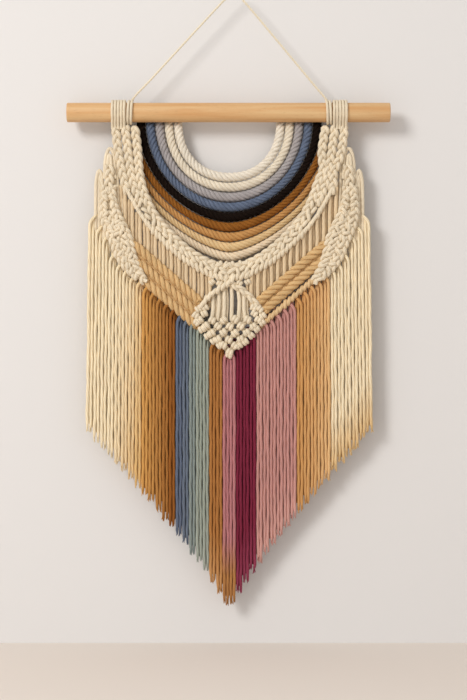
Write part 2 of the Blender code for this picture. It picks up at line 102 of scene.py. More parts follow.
# Knotted bands: stations of x, drop and width
BAND_TOP = 18.0
BAND_BACK = 2.5
UPPER_BAND = [
    (132.0, BAND_TOP, 28.0), (132.0, BAND_TOP + 5.0, 28.5), (128.5, 46.0, 29.0),
    (123.0, 77.0, 25.5), (117.5, 96.0, 24.5), (99.0, 131.0, 20.5), (72.0, 161.0, 18.5),
    (47.0, 181.5, 18.0), (21.0, 195.5, 18.0), (8.0, 198.5, 18.0), (0.2, 198.5, 18.0)]
OUTER_BAND = [
    (146.4, 56.0, 7.0), (148.2, 76.0, 15.5), (149.0, 96.0, 16.5), (149.0, 114.0, 21.0),
    (146.0, 130.5, 26.0), (139.5, 146.0, 28.0), (133.0, 160.5, 28.0), (129.5, 173.0, 26.0),
    (123.0, 186.5, 21.5), (114.0, 199.5, 15.0), (104.5, 211.0, 9.0)]
DIAMOND_ARM = [(-7.0, 203.5), (2.2, 212.0), (16.5, 220.5), (28.5, 231.5), (36.5, 241.5)]
LANE = 4.5                            # a row of knots' middle, in from the band's edge
INNER_LANE = LANE - 1.8
KNOT_LAYER = -2.6                     # where the knotted rows lie, towards the wall
BAND_PLAIT = 12.2                     # width of the upper bands' plaits
BAND_PLAIT_LAY = 32.0
BAND_SPREAD = 1.1                     # how far the three plaits stand apart above SPREAD_END
SPREAD_END = 100.0
PINCH_DROP = 72.0                     # where they are drawn together
PINCH_REACH = 11.0
SHIFT_LENGTH = 90.0                   # the band's top leans inwards over this length
PLAIT_ENDS = ((-1, 999.0), (0, 118.0), (1, 100.0))      # side and lowest drop of each plait
CENTRE_ROWS = (188.2, 204.0, 212.0)   # drops of the knots where the bands meet
CENTRE_REACH = 24.0                   # past this, only the first row goes on
OUTER_CHAIN = (62.0, 102.0)           # the chain at the outer band's top, from drop to drop
OUTER_PLAITS = ((-1, 90.0, 215.0), (0, 121.0, 193.0), (1, 90.0, 205.0))
ROSETTE = (-138.5, 143.0)             # a round knot on the left outer band
ROSETTE_RINGS = ((7.2, 8, 3.6), (2.4, 4, 2.2))    # radius, lobes and half a lobe's length

# The side loops: each cord's place towards the wall, then x and drop from end to end
SIDE_LOOPS = [
    (0.8, [(155.2, 82.0), (154.6, 62.0), (152.4, 50.0), (148.6, 44.2), (144.6, 50.0),
           (142.6, 64.0), (141.8, 82.0)]),
    (-1.4, [(151.4, 84.0), (150.6, 62.0), (148.8, 52.0), (146.8, 60.0), (146.4, 82.0)]),
    (2.6, [(166.0, 154.0), (165.8, 132.0), (165.6, 104.0), (165.0, 84.0), (161.6, 71.2),
           (157.8, 80.0), (156.8, 104.0), (155.6, 124.0)]),
    (3.2, [(162.0, 158.0), (162.0, 134.0), (161.6, 104.0), (161.4, 82.0), (160.4, 78.0),
           (159.6, 100.0), (158.8, 122.0)]),
    (3.6, [(143.5, 74.0), (142.4, 92.0), (142.0, 112.0), (141.0, 130.0)]),
    (2.4, [(139.0, 60.0), (138.6, 84.0), (138.2, 104.0), (137.4, 122.0), (135.8, 140.0)]),
    (3.4, [(134.2, 96.0), (133.6, 114.0), (132.4, 134.0), (131.6, 152.0)]),
    (2.2, [(152.6, 96.0), (153.8, 110.0), (155.4, 128.0), (155.0, 160.0)]),
    (3.4, [(159.0, 118.0), (158.6, 136.0), (158.0, 160.0)]),
    (4.6, [(150.0, 130.0), (150.6, 150.0), (149.8, 172.0)]),
    (4.6, [(142.6, 150.0), (143.4, 168.0), (142.8, 188.0)])]

# Spacer cords and V ropes
SPACER_CORD = 4.0
SPACERS = {"left": 12, "right": 14}
SPACER_FIRST = 131.0
SPACER_LAST = 26.0
SPACER_ROWS = ((-1.6, 0.0, 1.22), (3.0, 3.6, 1.2))      # shift, depth and thickness of each row
V_ROPE = 12.4
V_EDGE_CORD = 8.2
V_SLOPE = 0.87
V_LEAN = sqrt(1 + V_SLOPE ** 2)
V_FIRST_DROP = 265.9
V_GAP = 0.2
V_EDGE_GAP = 0.94
V_UPPER_END = {1: 127.0, 2: 121.0, 3: 110.0, "edge": 114.0}
V_LOWER_END = {1: 28.0, 2: 33.0, 3: 33.0, "edge": 34.0}
V_HIDDEN = 2.5                        # how far a rope's end runs behind the knots
V_DIVE = 5.0
V_BEND = 12.0
V_BEND_SHAPE = [(0.3, 0.85), (0.7, 0.15)]
V_LAY = 28.0
LASH = 2.4                            # radius of the cord behind the joint of two V ropes
LASH_BACK = 2.2

# The diamond of square knots
LATTICE_ROWS = 6
LATTICE_PITCH = 14.6
LATTICE_FIRST = 256.5
LATTICE_STEP = 8.1
CORNER_KNOTS = [(38.0, 243.5), (41.5, 251.5), (30.0, 241.5), (31.0, 249.0)]
BORDER_KNOTS = (40.5, 34.0, 27.0, 19.5, 12.0)
LATTICE_CORDS = (-21.5, -14.0, -7.0, 2.6, 11.0, 19.0)
LATTICE_CORD_TOPS = [(2.0, 212.0), (16.5, 220.5), (28.5, 231.5), (36.5, 241.5)]

# The fringe, left to right: number of doubled cords, dye, and a second dye for some of the
# cords or for their lower ends
FRINGE = [
    ("cream_left", 8, "FBEED0", "E2B873"), ("brown", 5, "98602C", "E0AD66"),
    ("slate", 3, "66728A", "8C9999"), ("sage", 2, "A0AAA2", "A9B3AC"),
    ("amber", 2, "B27B45", "CB9A66"), ("rose", 2, "BC8086", "B4814E"),
    ("plum", 3, "7E2A42", "93405A"), ("pink", 6, "C99692", "D6A6A0"),
    ("tan", 5, "D3A167", "E8C08C"), ("cream_right", 6, "FAEDD0", "E6C692")]
# How far each cord of these groups takes the second dye, over its whole length
CORD_SHADES = {"brown": (0.85, 0.6, 0.4, 0.2, 0.0), "slate": (0.0, 0.15, 1.0),
               "tan": (0.0, 0.2, 0.4, 0.7, 1.0)}
# The left cream cords take it more towards their lower ends and towards the brown ones
CREAM_TOPS = (0.0, 0.0, 0.0, 0.0, 0.0, 0.05, 0.2, 0.5)
CREAM_DEEPENING = 0.22                # per cord past the fourth, at the lower end
FRINGE_PITCH = 8.33                   # one doubled cord
FRINGE_TIP = 614.0                    # drop of the longest cords' ends
FRINGE_RISE = 224.0                   # the outermost cords end that much higher
FRINGE_CURVE = 0.86                   # below 1, the fringe's lower edge is slightly hollow
# A doubled cord is two strands in front, 1 and -1, and two behind. Their places across, in
# pitches from its middle, and towards the wall
STRAND_PLACES = {-1: -0.23, 1: 0.25, -2: 0.0, 2: 0.5}
STRAND_DEPTHS = {-1: -1.2, 1: -0.3, -2: 4.4, 2: 4.4}
STRAND_SLACK = 0.12                   # how far a strand's radius is under a quarter pitch
FRINGE_SHOULDER = 18.0                # below the hem, where a cord starts to hang straight
SIDE_HEM = 158.0                      # past this, no band covers the tops of the strands behind
SWAY_PERIODS = (150.0, 61.0, 24.0)
YARNS = 5                             # drawn at a cord's frayed end
YARN_TAPER = (0.42, 0.38, 0.3, 0.16)  # thickness along a yarn, in the cord's radii
HEAD_DEPTH = 12.0
CORNER_REACH = 2.5
HEM_UNDER_LATTICE = [(0.0, 304.0), (8.0, 295.3), (22.0, 286.0), (34.0, 272.5), (41.5, 263.5)]
HEM_UNDER_ROPES = [(56.0, 0.8), (100.0, 2.0), (112.0, 2.4)]
HEM_UNDER_BANDS = [(124.0, 203.0), (138.0, 190.0), (147.0, 177.0), (152.0, 160.0),
                   (162.0, 146.0), (175.0, 126.5)]

# The stage, in metres
FLOOR_LEVEL = -0.8075
WALL_DEPTH = 0.0262
STAGE_WIDTH, STAGE_HEIGHT, STAGE_DEPTH = 4.0, 3.2, 3.4
VIEW_DISTANCE = 2.4
VIEW_HEIGHT = 0.8666                  # height of the picture at the textile
VIEW_PLACE = (-0.0008, -0.441)
KEY_PLACE = (-2.1, -2.9, 1.3)
KEY_AIM = (0.0, 0.0, -0.42)
KEY_WIDTH = 1.3
KEY_TINT = (1.0, 0.982, 0.955)
SKY_TINT = (1.0, 0.982, 0.962, 1.0)


def linear(colour):
    """An sRGB hex colour as linear red, green, blue and alpha."""
    channels = [int(colour[i:i + 2], 16) / 255 for i in (0, 2, 4)]
    return (*[c / 12.92 if c <= 0.04045 else ((c + 0.055) / 1.055) ** 2.4 for c in channels], 1.0)


def length_property(name, description, default):
    """A length, given in millimetres."""
    return bpy.props.FloatProperty(name=name, description=description, default=default * MM,
                                   unit="LENGTH", subtype="DISTANCE")


def dye_property(name, description, default):
    """A colour, given as sRGB hex."""
    return bpy.props.FloatVectorProperty(name=name, description=description, size=4, min=0.0,
                                         max=1.0, default=linear(default), subtype="COLOR")


class WallHangingDowel(bpy.types.PropertyGroup):
    """The round wooden rod."""
    length: length_property("Length", "Length of the dowel", 400.0)
    radius: length_property("Radius", "Half the dowel's thickness", 12.0)
    chamfer: length_property("Chamfer", "Rounding of the sawn ends", 1.6)
    early_wood: dye_property("Early wood", "Pale part of the grain", "DDB987")
    late_wood: dye_property("Late wood", "Darker lines of the grain", "CF9C65")


class WallHangingCord(bpy.types.PropertyGroup):
    """The undyed cotton cord of the knots, loops and spacers."""
    cord: length_property("Cord", "Thickness of the knotting cord", 5.0)
    cotton: dye_property("Cotton", "Undyed cotton cord", "F6EAD4")
    # Darker and more golden than the knotting cotton, though the same cord: painted shade
    spacer: dye_property("Spacers", "Cotton of the upright spacer cords", "F1DEBF")
    # Tanner than the cream wraps at the cord's ends, though it is the same cord: painted shade
    twine: dye_property("Twine", "The cord that hangs the dowel", "DFC396")


class WallHangingRopes(bpy.types.PropertyGroup):
    """The laid ropes: nine arches and the slanting ropes of the V."""
    __annotations__ = {
        **{name: dye_property(name.replace("_", " ").capitalize(), "Dye of this arched rope", dye)
           for name, dye in ARCH_ROPES},
        "lay": length_property("Lay", "Length of one full turn of a rope's strands", 25.0),
        "v_rope": dye_property("V ropes", "Dye of the slanting ropes", "ECCD9C"),
        "v_edge": dye_property("V edge", "Dye of the knotted edge under the right ropes",
                               "EDD2A8")}


class WallHangingFringe(bpy.types.PropertyGroup):
    """The hanging cords."""
    __annotations__ = {
        **{name: dye_property(name.replace("_", " ").capitalize(), "Dye of these cords", dye)
           for name, _, dye, _ in FRINGE},
        **{f"{name}_ends": dye_property(name.replace("_", " ").capitalize() + " ends",
                                        "Second dye, of some cords or of their lower ends", ends)
           for name, _, _, ends in FRINGE},
        "fray": length_property("Fray", "Length of the unravelled ends", 6.0),
        "sway": length_property("Sway", "How far a cord wanders from a straight line", 0.3)}


class WallHangingStudio(bpy.types.PropertyGroup):
    """The wall, floor and light."""
    wall: dye_property("Wall", "Matt wall paint", "E1DFDE")
    floor: dye_property("Floor", "Pale floor", "E4DAD1")
    key: bpy.props.FloatProperty(name="Key light", description="Power of the large soft light",
                                 default=82.0, min=0.0, unit="POWER")
    sky: bpy.props.FloatProperty(name="Sky", description="Strength of the light from all round",
                                 default=0.62, min=0.0)


# ---------------------------------------------------------------- paths

def cloth_point(x, y, drop):
    """A point of the textile, in millimetres in the frame's coordinates."""
    return Vector((x - NAIL_OFFSET, y, -drop - NAIL_RISE))


def drop_of(point):
    """How far a point of the textile lies below the dowel's axis."""
    return -point.z - NAIL_RISE


def smooth_path(stations, steps):
    """A Catmull-Rom curve through stations, each a row of numbers."""
    rows = [Vector(row) for row in stations]
    padded = [rows[0] * 2 - rows[1], *rows, rows[-1] * 2 - rows[-2]]
    path = []
    for index in range(len(rows) - 1):
        a, b, c, d = padded[index:index + 4]
        for step in range(steps):
            t = step / steps
            path.append((b * 2 + (c - a) * t + (a * 2 - b * 5 + c * 4 - d) * t * t
                         + (b * 3 - a - c * 3 + d) * t ** 3) / 2)
    path.append(rows[-1])
    return path


def travelled(path):
    """Distance along a path at each of its points."""
    total = [0.0]
    for start, end in zip(path, path[1:]):
        total.append(total[-1] + (end - start).length)
    return total


def at_distance(path, total, distance):
    """The point of a path at a distance along it."""
    upper = min(max(bisect.bisect(total, distance), 1), len(path) - 1)
    span = total[upper] - total[upper - 1]
    return path[upper - 1].lerp(path[upper], (distance - total[upper - 1]) / span)


def evenly(path, spacing):
    """The same path with points about spacing apart."""
    path = [Vector(point) for point in path]
    total = travelled(path)
    count = max(round(total[-1] / spacing), 2)
    return [at_distance(path, total, total[-1] * k / count) for k in range(count + 1)]


def along(table, x):
    """The value at x on a polyline of (x, value) pairs sorted by x."""
    keys = [row[0] for row in table]
    upper = min(max(bisect.bisect(keys, x), 1), len(keys) - 1)
    (x0, v0), (x1, v1) = table[upper - 1], table[upper]
    return v0 + (v1 - v0) * (x - x0) / (x1 - x0)


def carried_frames(path):
    """Tangent, normal and binormal at each point, with as little twist as can be."""
    last = len(path) - 1
    tangents = [(path[min(i + 1, last)] - path[max(i - 1, 0)]).normalized()
                for i in range(len(path))]
    normal = Vector((0.0, 1.0, 0.0))
    if abs(normal.dot(tangents[0])) > 0.9:
        normal = Vector((1.0, 0.0, 0.0))
    normals, binormals = [], []
    for tangent in tangents:
        normal = (normal - tangent * normal.dot(tangent)).normalized()
        normals.append(normal)
        binormals.append(tangent.cross(normal))
    return tangents, normals, binormals


def lane(stations, offset_of, y, mirror):
    """A row of a band: the line at offset_of(width) to the outer side of its middle."""
    path = []
    for index, row in enumerate(stations):
        before, after = stations[max(index - 1, 0)], stations[min(index + 1, len(stations) - 1)]
        run_x, run_drop = after[0] - before[0], after[1] - before[1]
        size = hypot(run_x, run_drop)
        offset = offset_of(row[2])
        path.append(cloth_point(mirror * (row[0] + run_drop / size * offset), y,
                                row[1] - run_x / size * offset))
    return path


# ---------------------------------------------------------------- cords

TUBES = {}


def tube_template(sides, rings):
    """A closed tube one unit thick and one unit from ring to ring, and its vertices' places.

    Returns the mesh, each vertex's ring and angle, and each corner's turn and ring.
    """
    key = (sides, rings)
    if key not in TUBES:
        bm = bmesh.new()
        bm.loops.layers.uv.new("UVMap")
        bmesh.ops.create_grid(bm, x_segments=sides, y_segments=rings - 1, size=1.0, calc_uvs=True)
        for vert in bm.verts:
            angle = pi * (vert.co.x + 1)
            vert.co = (cos(angle), sin(angle), round((vert.co.y + 1) / 2 * (rings - 1)))
        bmesh.ops.remove_doubles(bm, verts=bm.verts, dist=1e-4)
        rims = [edge for edge in bm.edges if edge.is_boundary]
        bmesh.ops.holes_fill(bm, edges=rims, sides=0)
        bmesh.ops.recalc_face_normals(bm, faces=bm.faces)
        mesh = bpy.data.meshes.new("tube_template")
        bm.to_mesh(mesh)
        bm.free()
        co = np.empty(len(mesh.vertices) * 3)
        mesh.vertices.foreach_get("co", co)
        co = co.reshape(-1, 3)
        uv = np.empty(len(mesh.loops) * 2)
        mesh.uv_layers[0].data.foreach_get("uv", uv)
        uv = uv.reshape(-1, 2)
        corners = np.empty(len(mesh.loops), int)
        mesh.loops.foreach_get("vertex_index", corners)
        starts = np.empty(len(mesh.polygons), int)
        mesh.polygons.foreach_get("loop_start", starts)
        bpy.data.meshes.remove(mesh)
        ring = np.rint(co[:, 2]).astype(int)
        row = np.clip(np.rint(uv[:, 1] * (rings - 1)).astype(int), 0, rings - 1)
        TUBES[key] = (ring, co[:, :2], uv[:, 0], row, corners, starts)
    return TUBES[key]


class Skein:
    """Cords of one piece. Their UV map holds turns round the cord and millimetres along it."""

    def __init__(self):
        self.tubes = []

    def cord(self, path, radius, sides=8, dip=None):
        """A cord along a path, of one radius or one for each point. dip is its dye, 0 to 1."""
        ring, circle, turn, row, corners, starts = tube_template(sides, len(path))
        _, normals, binormals = carried_frames(path)
        radii = np.broadcast_to(np.asarray(radius, float), (len(path),))
        spokes = (circle[:, :1] * np.array(normals)[ring]
                  + circle[:, 1:] * np.array(binormals)[ring])
        co = np.array(path)[ring] + radii[ring][:, None] * spokes
        length = np.array(travelled(path))
        dye = np.broadcast_to(np.asarray(0.0 if dip is None else dip, float), (len(path),))
        self.tubes.append((co, np.stack([turn, length[row]], 1), dye[ring], corners, starts))

    def piece(self, name, finish, body=None):
        """The skein as one object at the origin, riding on a body."""
        mesh = bpy.data.meshes.new(name)
        co = np.concatenate([tube[0] for tube in self.tubes]) * MM
        uv = np.concatenate([tube[1] for tube in self.tubes])
        dye = np.concatenate([tube[2] for tube in self.tubes])
        corners, starts, verts, loops = [], [], 0, 0
        for tube in self.tubes:
            corners.append(tube[3] + verts)
            starts.append(tube[4] + loops)
            verts += len(tube[0])
            loops += len(tube[3])
        corners, starts = np.concatenate(corners), np.concatenate(starts)
        mesh.vertices.add(len(co))
        mesh.vertices.foreach_set("co", co.ravel())
        mesh.loops.add(len(corners))
        mesh.loops.foreach_set("vertex_index", corners)
        mesh.polygons.add(len(starts))
        mesh.polygons.foreach_set("loop_start", starts)
        mesh.update(calc_edges=True)
        mesh.uv_layers.new(name="UVMap").data.foreach_set("uv", uv.ravel())
        mesh.attributes.new("dip", "FLOAT", "POINT").data.foreach_set("value", dye)
        mesh.validate()
        mesh.shade_smooth()
        mesh.set_sharp_from_angle(angle=radians(60))
        return show(name, mesh, finish, body)


def show(name, mesh, finish, body=None):
    """An object of the mesh in its finish, riding on a body."""
    obj = bpy.data.objects.new(name, mesh)
    bpy.context.scene.collection.objects.link(obj)
    mesh.materials.append(finish)
    if body:
        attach(obj, body)
    return obj


def rope(skein, path, radii, lay, strands=3, sides=10):
    """Strands laid right-handed round a path whose points are close together."""
    offset = 1 / (1 + sin(pi / strands))
    _, normals, binormals = carried_frames(path)
    total = travelled(path)
    for strand in range(strands):
        points = []
        for index, point in enumerate(path):
            angle = 2 * pi * (total[index] / lay + strand / strands)
            spoke = normals[index] * cos(angle) + binormals[index] * sin(angle)
            points.append(point + spoke * radii[index] * offset)
        skein.cord(points, [radius * (0.985 - offset) for radius in radii], sides)


def plait(skein, path, width, radius, lay, phase=0.0):
    """Three cords plaited flat along a path in the plane of the textile."""
    path = evenly(path, 1.7)
    tangents, _, _ = carried_frames(path)
    total = travelled(path)
    for strand in range(3):
        points = []
        for index, point in enumerate(path):
            angle = 2 * pi * (total[index] / lay + strand / 3) + phase
            side = tangents[index].cross(OUT)
            points.append(point + side * (width / 2 - radius) * sin(angle)
                          + OUT * radius * 0.95 * sin(2 * angle))
        skein.cord(points, radius)


def lobe(skein, centre, direction, half, depth, radius):
    """Where a knotting cord comes out over the others: it rises, bulges and dives again."""
    points = []
    for step in range(9):
        angle = radians(-115 + 230 * step / 8)
        points.append(centre + direction * half * sin(angle) + OUT * depth * cos(angle))
    skein.cord(points, radius)


def slanted(direction, degrees):
    """A direction turned in the plane of the textile, anticlockwise from the front."""
    return Matrix.Rotation(-radians(degrees), 3, OUT) @ direction


def hitches(skein, path, pitch, half, radius, direction, draw):
    """A row of hitches over a holding cord, each a lobe that points more or less one way."""
    path = evenly(path, 2.0)
    total = travelled(path)
    skein.cord(path, radius * 0.9)
    count = max(round(total[-1] / pitch), 1)
    for number in range(count):
        centre = at_distance(path, total, total[-1] * (number + 0.5) / count)
        lean = slanted(direction, draw.gauss(0, 7))
        shake = lean * draw.uniform(-0.5, 0.5)
        lobe(skein, centre + shake, lean, half * draw.uniform(0.9, 1.1), 2.6,
             radius * draw.uniform(0.95, 1.05))


def square_knot(skein, centre, size, radius, draw):
    """A square knot: a rounded bead of two lobes side by side."""
    lean = slanted(UP, draw.choice((-1, 1)) * draw.uniform(22, 42))
    side = lean.cross(OUT)
    for shift in (-0.8, 0.8):
        lobe(skein, centre + side * radius * shift, slanted(lean, draw.uniform(-9, 9)),
             (size - radius) * draw.uniform(0.95, 1.1), 2.5, radius)


def leg(skein, start, end, radius, bow=0.0, lift=0.0):
    """A short stretch of cord between two knots, bowed to the side and lifted off the wall."""
    run = end - start
    side = run.normalized().cross(OUT)
    points = [start + run * t + (side * bow + OUT * lift) * sin(pi * t)
              for t in (0.0, 0.2, 0.4, 0.6, 0.8, 1.0)]
    skein.cord(points, radius)


# ---------------------------------------------------------------- finishes

def add_node(tree, kind, settings=None, inputs=None):
    """A node with its settings, and its inputs set to a value or linked to an output."""
    made = tree.nodes.new(kind)
    for name, value in (settings or {}).items():
        setattr(made, name, value)
    for key, value in (inputs or {}).items():
        if isinstance(value, bpy.types.NodeSocket):
            tree.links.new(value, made.inputs[key])
        else:
            made.inputs[key].default_value = value
    return made


def plain_tree(name, roughness):
    """A material with a Principled shader, its tree and the shader."""
    material = bpy.data.materials.new(name)
    material.use_nodes = True
    shader = material.node_tree.nodes["Principled BSDF"]
    shader.inputs["Roughness"].default_value = roughness
    return material, material.node_tree, shader


def maths(tree, operation, *values):
    """The output of a Math node."""
    return add_node(tree, "ShaderNodeMath", {"operation": operation},
                    dict(enumerate(values))).outputs[0]


def blended(tree, factor, low, high, mode="MIX"):
    """Colour low turned to colour high by factor."""
    node = add_node(tree, "ShaderNodeMix", {"data_type": "RGBA", "blend_type": mode},
                    {0: factor, 6: low, 7: high})
    return node.outputs[2]


def cotton(name, dye, ends=None, plies=7, ply_lay=10.0, relief=0.3, depth=0.76):
    """Combed cotton: soft matt fibres with a little sheen, in fine plies twisted round the cord.

    A ply is 1 to 2 mm wide. The grooves between plies carry painted shade, darker and warmer
    than their crowns; depth sets how dark. With a second dye it is a golden tint over both dyes.
    """
    material, tree, shader = plain_tree(name, 0.88)
    uv = add_node(tree, "ShaderNodeUVMap", {"uv_map": "UVMap"})
    parts = add_node(tree, "ShaderNodeSeparateXYZ", inputs={0: uv.outputs[0]})
    turn, run = parts.outputs[0], parts.outputs[1]
    phase = maths(tree, "ADD", maths(tree, "MULTIPLY", turn, float(plies)),
                  maths(tree, "DIVIDE", run, ply_lay))
    ridge = maths(tree, "SINE", maths(tree, "MULTIPLY", phase, 2 * pi))
    ridge = maths(tree, "MULTIPLY_ADD", ridge, 0.5, 0.5)
    fibre_place = add_node(tree, "ShaderNodeCombineXYZ", inputs={
        0: maths(tree, "MULTIPLY", phase, 3.0), 1: maths(tree, "MULTIPLY", run, 0.12)})
    fibres = add_node(tree, "ShaderNodeTexNoise", {"noise_dimensions": "2D"},
                      {"Vector": fibre_place.outputs[0], "Scale": 1.0, "Detail": 3.0,
                       "Roughness": 0.6})
    place = add_node(tree, "ShaderNodeTexCoord")
    patches = add_node(tree, "ShaderNodeTexNoise", inputs={
        "Vector": place.outputs["Object"], "Scale": 70.0, "Detail": 2.0})
    colour = dye
    if ends:
        dip = add_node(tree, "ShaderNodeAttribute", {"attribute_name": "dip"})
        colour = blended(tree, dip.outputs["Fac"], dye, ends)
    # Painted shade: the grooves take a darker, warmer copy of the dye, for the shade between plies
    painted_groove_shade = (*[c ** 2.1 * depth for c in dye[:3]], 1.0)
    light = maths(tree, "ADD", maths(tree, "MULTIPLY", ridge, 0.6),
                  maths(tree, "MULTIPLY", fibres.outputs["Fac"], 0.6))
    light = add_node(tree, "ShaderNodeClamp", inputs={0: light}).outputs[0]
    # With a second dye, the painted groove shade is a golden tint multiplied over both dyes
    if ends:
        shaded = blended(tree, 1.0, colour, (depth, depth * 0.86, depth * 0.68, 1.0), "MULTIPLY")
        colour = blended(tree, light, shaded, colour)
    else:
        colour = blended(tree, light, painted_groove_shade, dye)
    tone = add_node(tree, "ShaderNodeMapRange", inputs={
        0: patches.outputs["Fac"], 1: 0.3, 2: 0.7, 3: 0.93, 4: 1.05})
    hue = add_node(tree, "ShaderNodeHueSaturation", inputs={
        "Value": tone.outputs[0], "Color": colour})
    bump = add_node(tree, "ShaderNodeBump", inputs={
        "Strength": 0.8, "Distance": relief * MM,
        "Height": maths(tree, "ADD", ridge, fibres.outputs["Fac"])})
    tree.links.new(hue.outputs[0], shader.inputs["Base Color"])
    tree.links.new(bump.outputs[0], shader.inputs["Normal"])
    shader.inputs["Sheen Weight"].default_value = 0.12
    shader.inputs["Sheen Tint"].default_value = dye
    shader.inputs["Sheen Roughness"].default_value = 0.5
    shader.inputs["Specular IOR Level"].default_value = 0.12
    material.diffuse_color = dye
    return material


def beech(name, early, late):
    """Sanded, unfinished beech: fine straight grain along the rod, with short darker flecks."""
    material, tree, shader = plain_tree(name, 0.52)
    place = add_node(tree, "ShaderNodeTexCoord")
    grain_place = add_node(tree, "ShaderNodeMapping", inputs={
        0: place.outputs["Object"], "Scale": (5.0, 160.0, 160.0)})
    grain = add_node(tree, "ShaderNodeTexNoise", inputs={
        "Vector": grain_place.outputs[0], "Scale": 1.0, "Detail": 5.0, "Roughness": 0.62,
        "Distortion": 0.6})
    fleck_place = add_node(tree, "ShaderNodeMapping", inputs={
        0: place.outputs["Object"], "Scale": (120.0, 1400.0, 1400.0)})
    flecks = add_node(tree, "ShaderNodeTexNoise", inputs={
        "Vector": fleck_place.outputs[0], "Scale": 1.0, "Detail": 2.0})
    contrast = add_node(tree, "ShaderNodeMapRange", inputs={
        0: grain.outputs["Fac"], 1: 0.35, 2: 0.68})
    colour = blended(tree, contrast.outputs[0], late, early)
    fleck = add_node(tree, "ShaderNodeMapRange", inputs={
        0: flecks.outputs["Fac"], 1: 0.62, 2: 0.72, 3: 0.0, 4: 0.35})
    brown = (*[c * 0.6 for c in late[:3]], 1.0)
    colour = blended(tree, fleck.outputs[0], colour, brown)
    bump = add_node(tree, "ShaderNodeBump", inputs={
        "Strength": 0.35, "Distance": 0.12 * MM, "Height": grain.outputs["Fac"]})
    tree.links.new(colour, shader.inputs["Base Color"])
    tree.links.new(bump.outputs[0], shader.inputs["Normal"])
    material.diffuse_color = early
    return material


def wall_paint(name, colour, one_sided):
    """Matt emulsion, with the faint orange peel of a roller. The wall is clear from behind."""
    material, tree, shader = plain_tree(name, 0.92)
    shader.inputs["Base Color"].default_value = colour
    place = add_node(tree, "ShaderNodeTexCoord")
    peel = add_node(tree, "ShaderNodeTexNoise", inputs={
        "Vector": place.outputs["Object"], "Scale": 260.0, "Detail": 2.0})
    bump = add_node(tree, "ShaderNodeBump", inputs={
        "Strength": 0.12, "Distance": 0.3 * MM, "Height": peel.outputs["Fac"]})
    tree.links.new(bump.outputs[0], shader.inputs["Normal"])
    if one_sided:
        side = add_node(tree, "ShaderNodeNewGeometry")
        clear = add_node(tree, "ShaderNodeBsdfTransparent")
        both = add_node(tree, "ShaderNodeMixShader", inputs={
            0: side.outputs["Backfacing"], 1: shader.outputs[0], 2: clear.outputs[0]})
        tree.links.new(both.outputs[0], tree.nodes["Material Output"].inputs[0])
    material.diffuse_color = colour
    return material


def shared(name, make):
    """The material of that name, made once."""
    return bpy.data.materials.get(name) or make(name)


def undyed_cotton():
    """The knotting cord's finish."""
    dye = tuple(bpy.context.scene.wall_hanging_cord.cotton)
    return shared("undyed_cotton_cord", lambda name: cotton(name, dye))


# ---------------------------------------------------------------- pieces

class WALLHANGING_OT_dowel(bpy.types.Operator):
    """Turn the wooden dowel"""
    bl_idname = "wall_hanging.dowel"
    bl_label = "Dowel"

    def execute(self, context):
        sizes = context.scene.wall_hanging_dowel
        bm = bmesh.new()
        bmesh.ops.create_cone(bm, cap_ends=True, segments=64, radius1=sizes.radius,
                              radius2=sizes.radius, depth=sizes.length)
        bmesh.ops.rotate(bm, verts=bm.verts, matrix=Matrix.Rotation(pi / 2, 3, "Y"))
        rims = [edge for edge in bm.edges
                if abs(edge.verts[0].co.x - edge.verts[1].co.x) < sizes.chamfer]
        bmesh.ops.bevel(bm, geom=rims, offset=sizes.chamfer, segments=4, profile=0.5,
                        affect="EDGES", material=-1)
        middle = (DOWEL_SHIFT - NAIL_OFFSET) * MM
        bmesh.ops.translate(bm, verts=bm.verts, vec=(middle, 0.0, -NAIL_RISE * MM))
        bmesh.ops.recalc_face_normals(bm, faces=bm.faces)
        mesh = bpy.data.meshes.new("wooden_dowel")
        bm.to_mesh(mesh)
        bm.free()
        mesh.shade_smooth()
        mesh.set_sharp_from_angle(angle=radians(40))
        finish = beech("sanded_beech", tuple(sizes.early_wood), tuple(sizes.late_wood))
        dowel = show("wooden_dowel", mesh, finish, "tapestry")
        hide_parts("dowel")
        return {"FINISHED"}


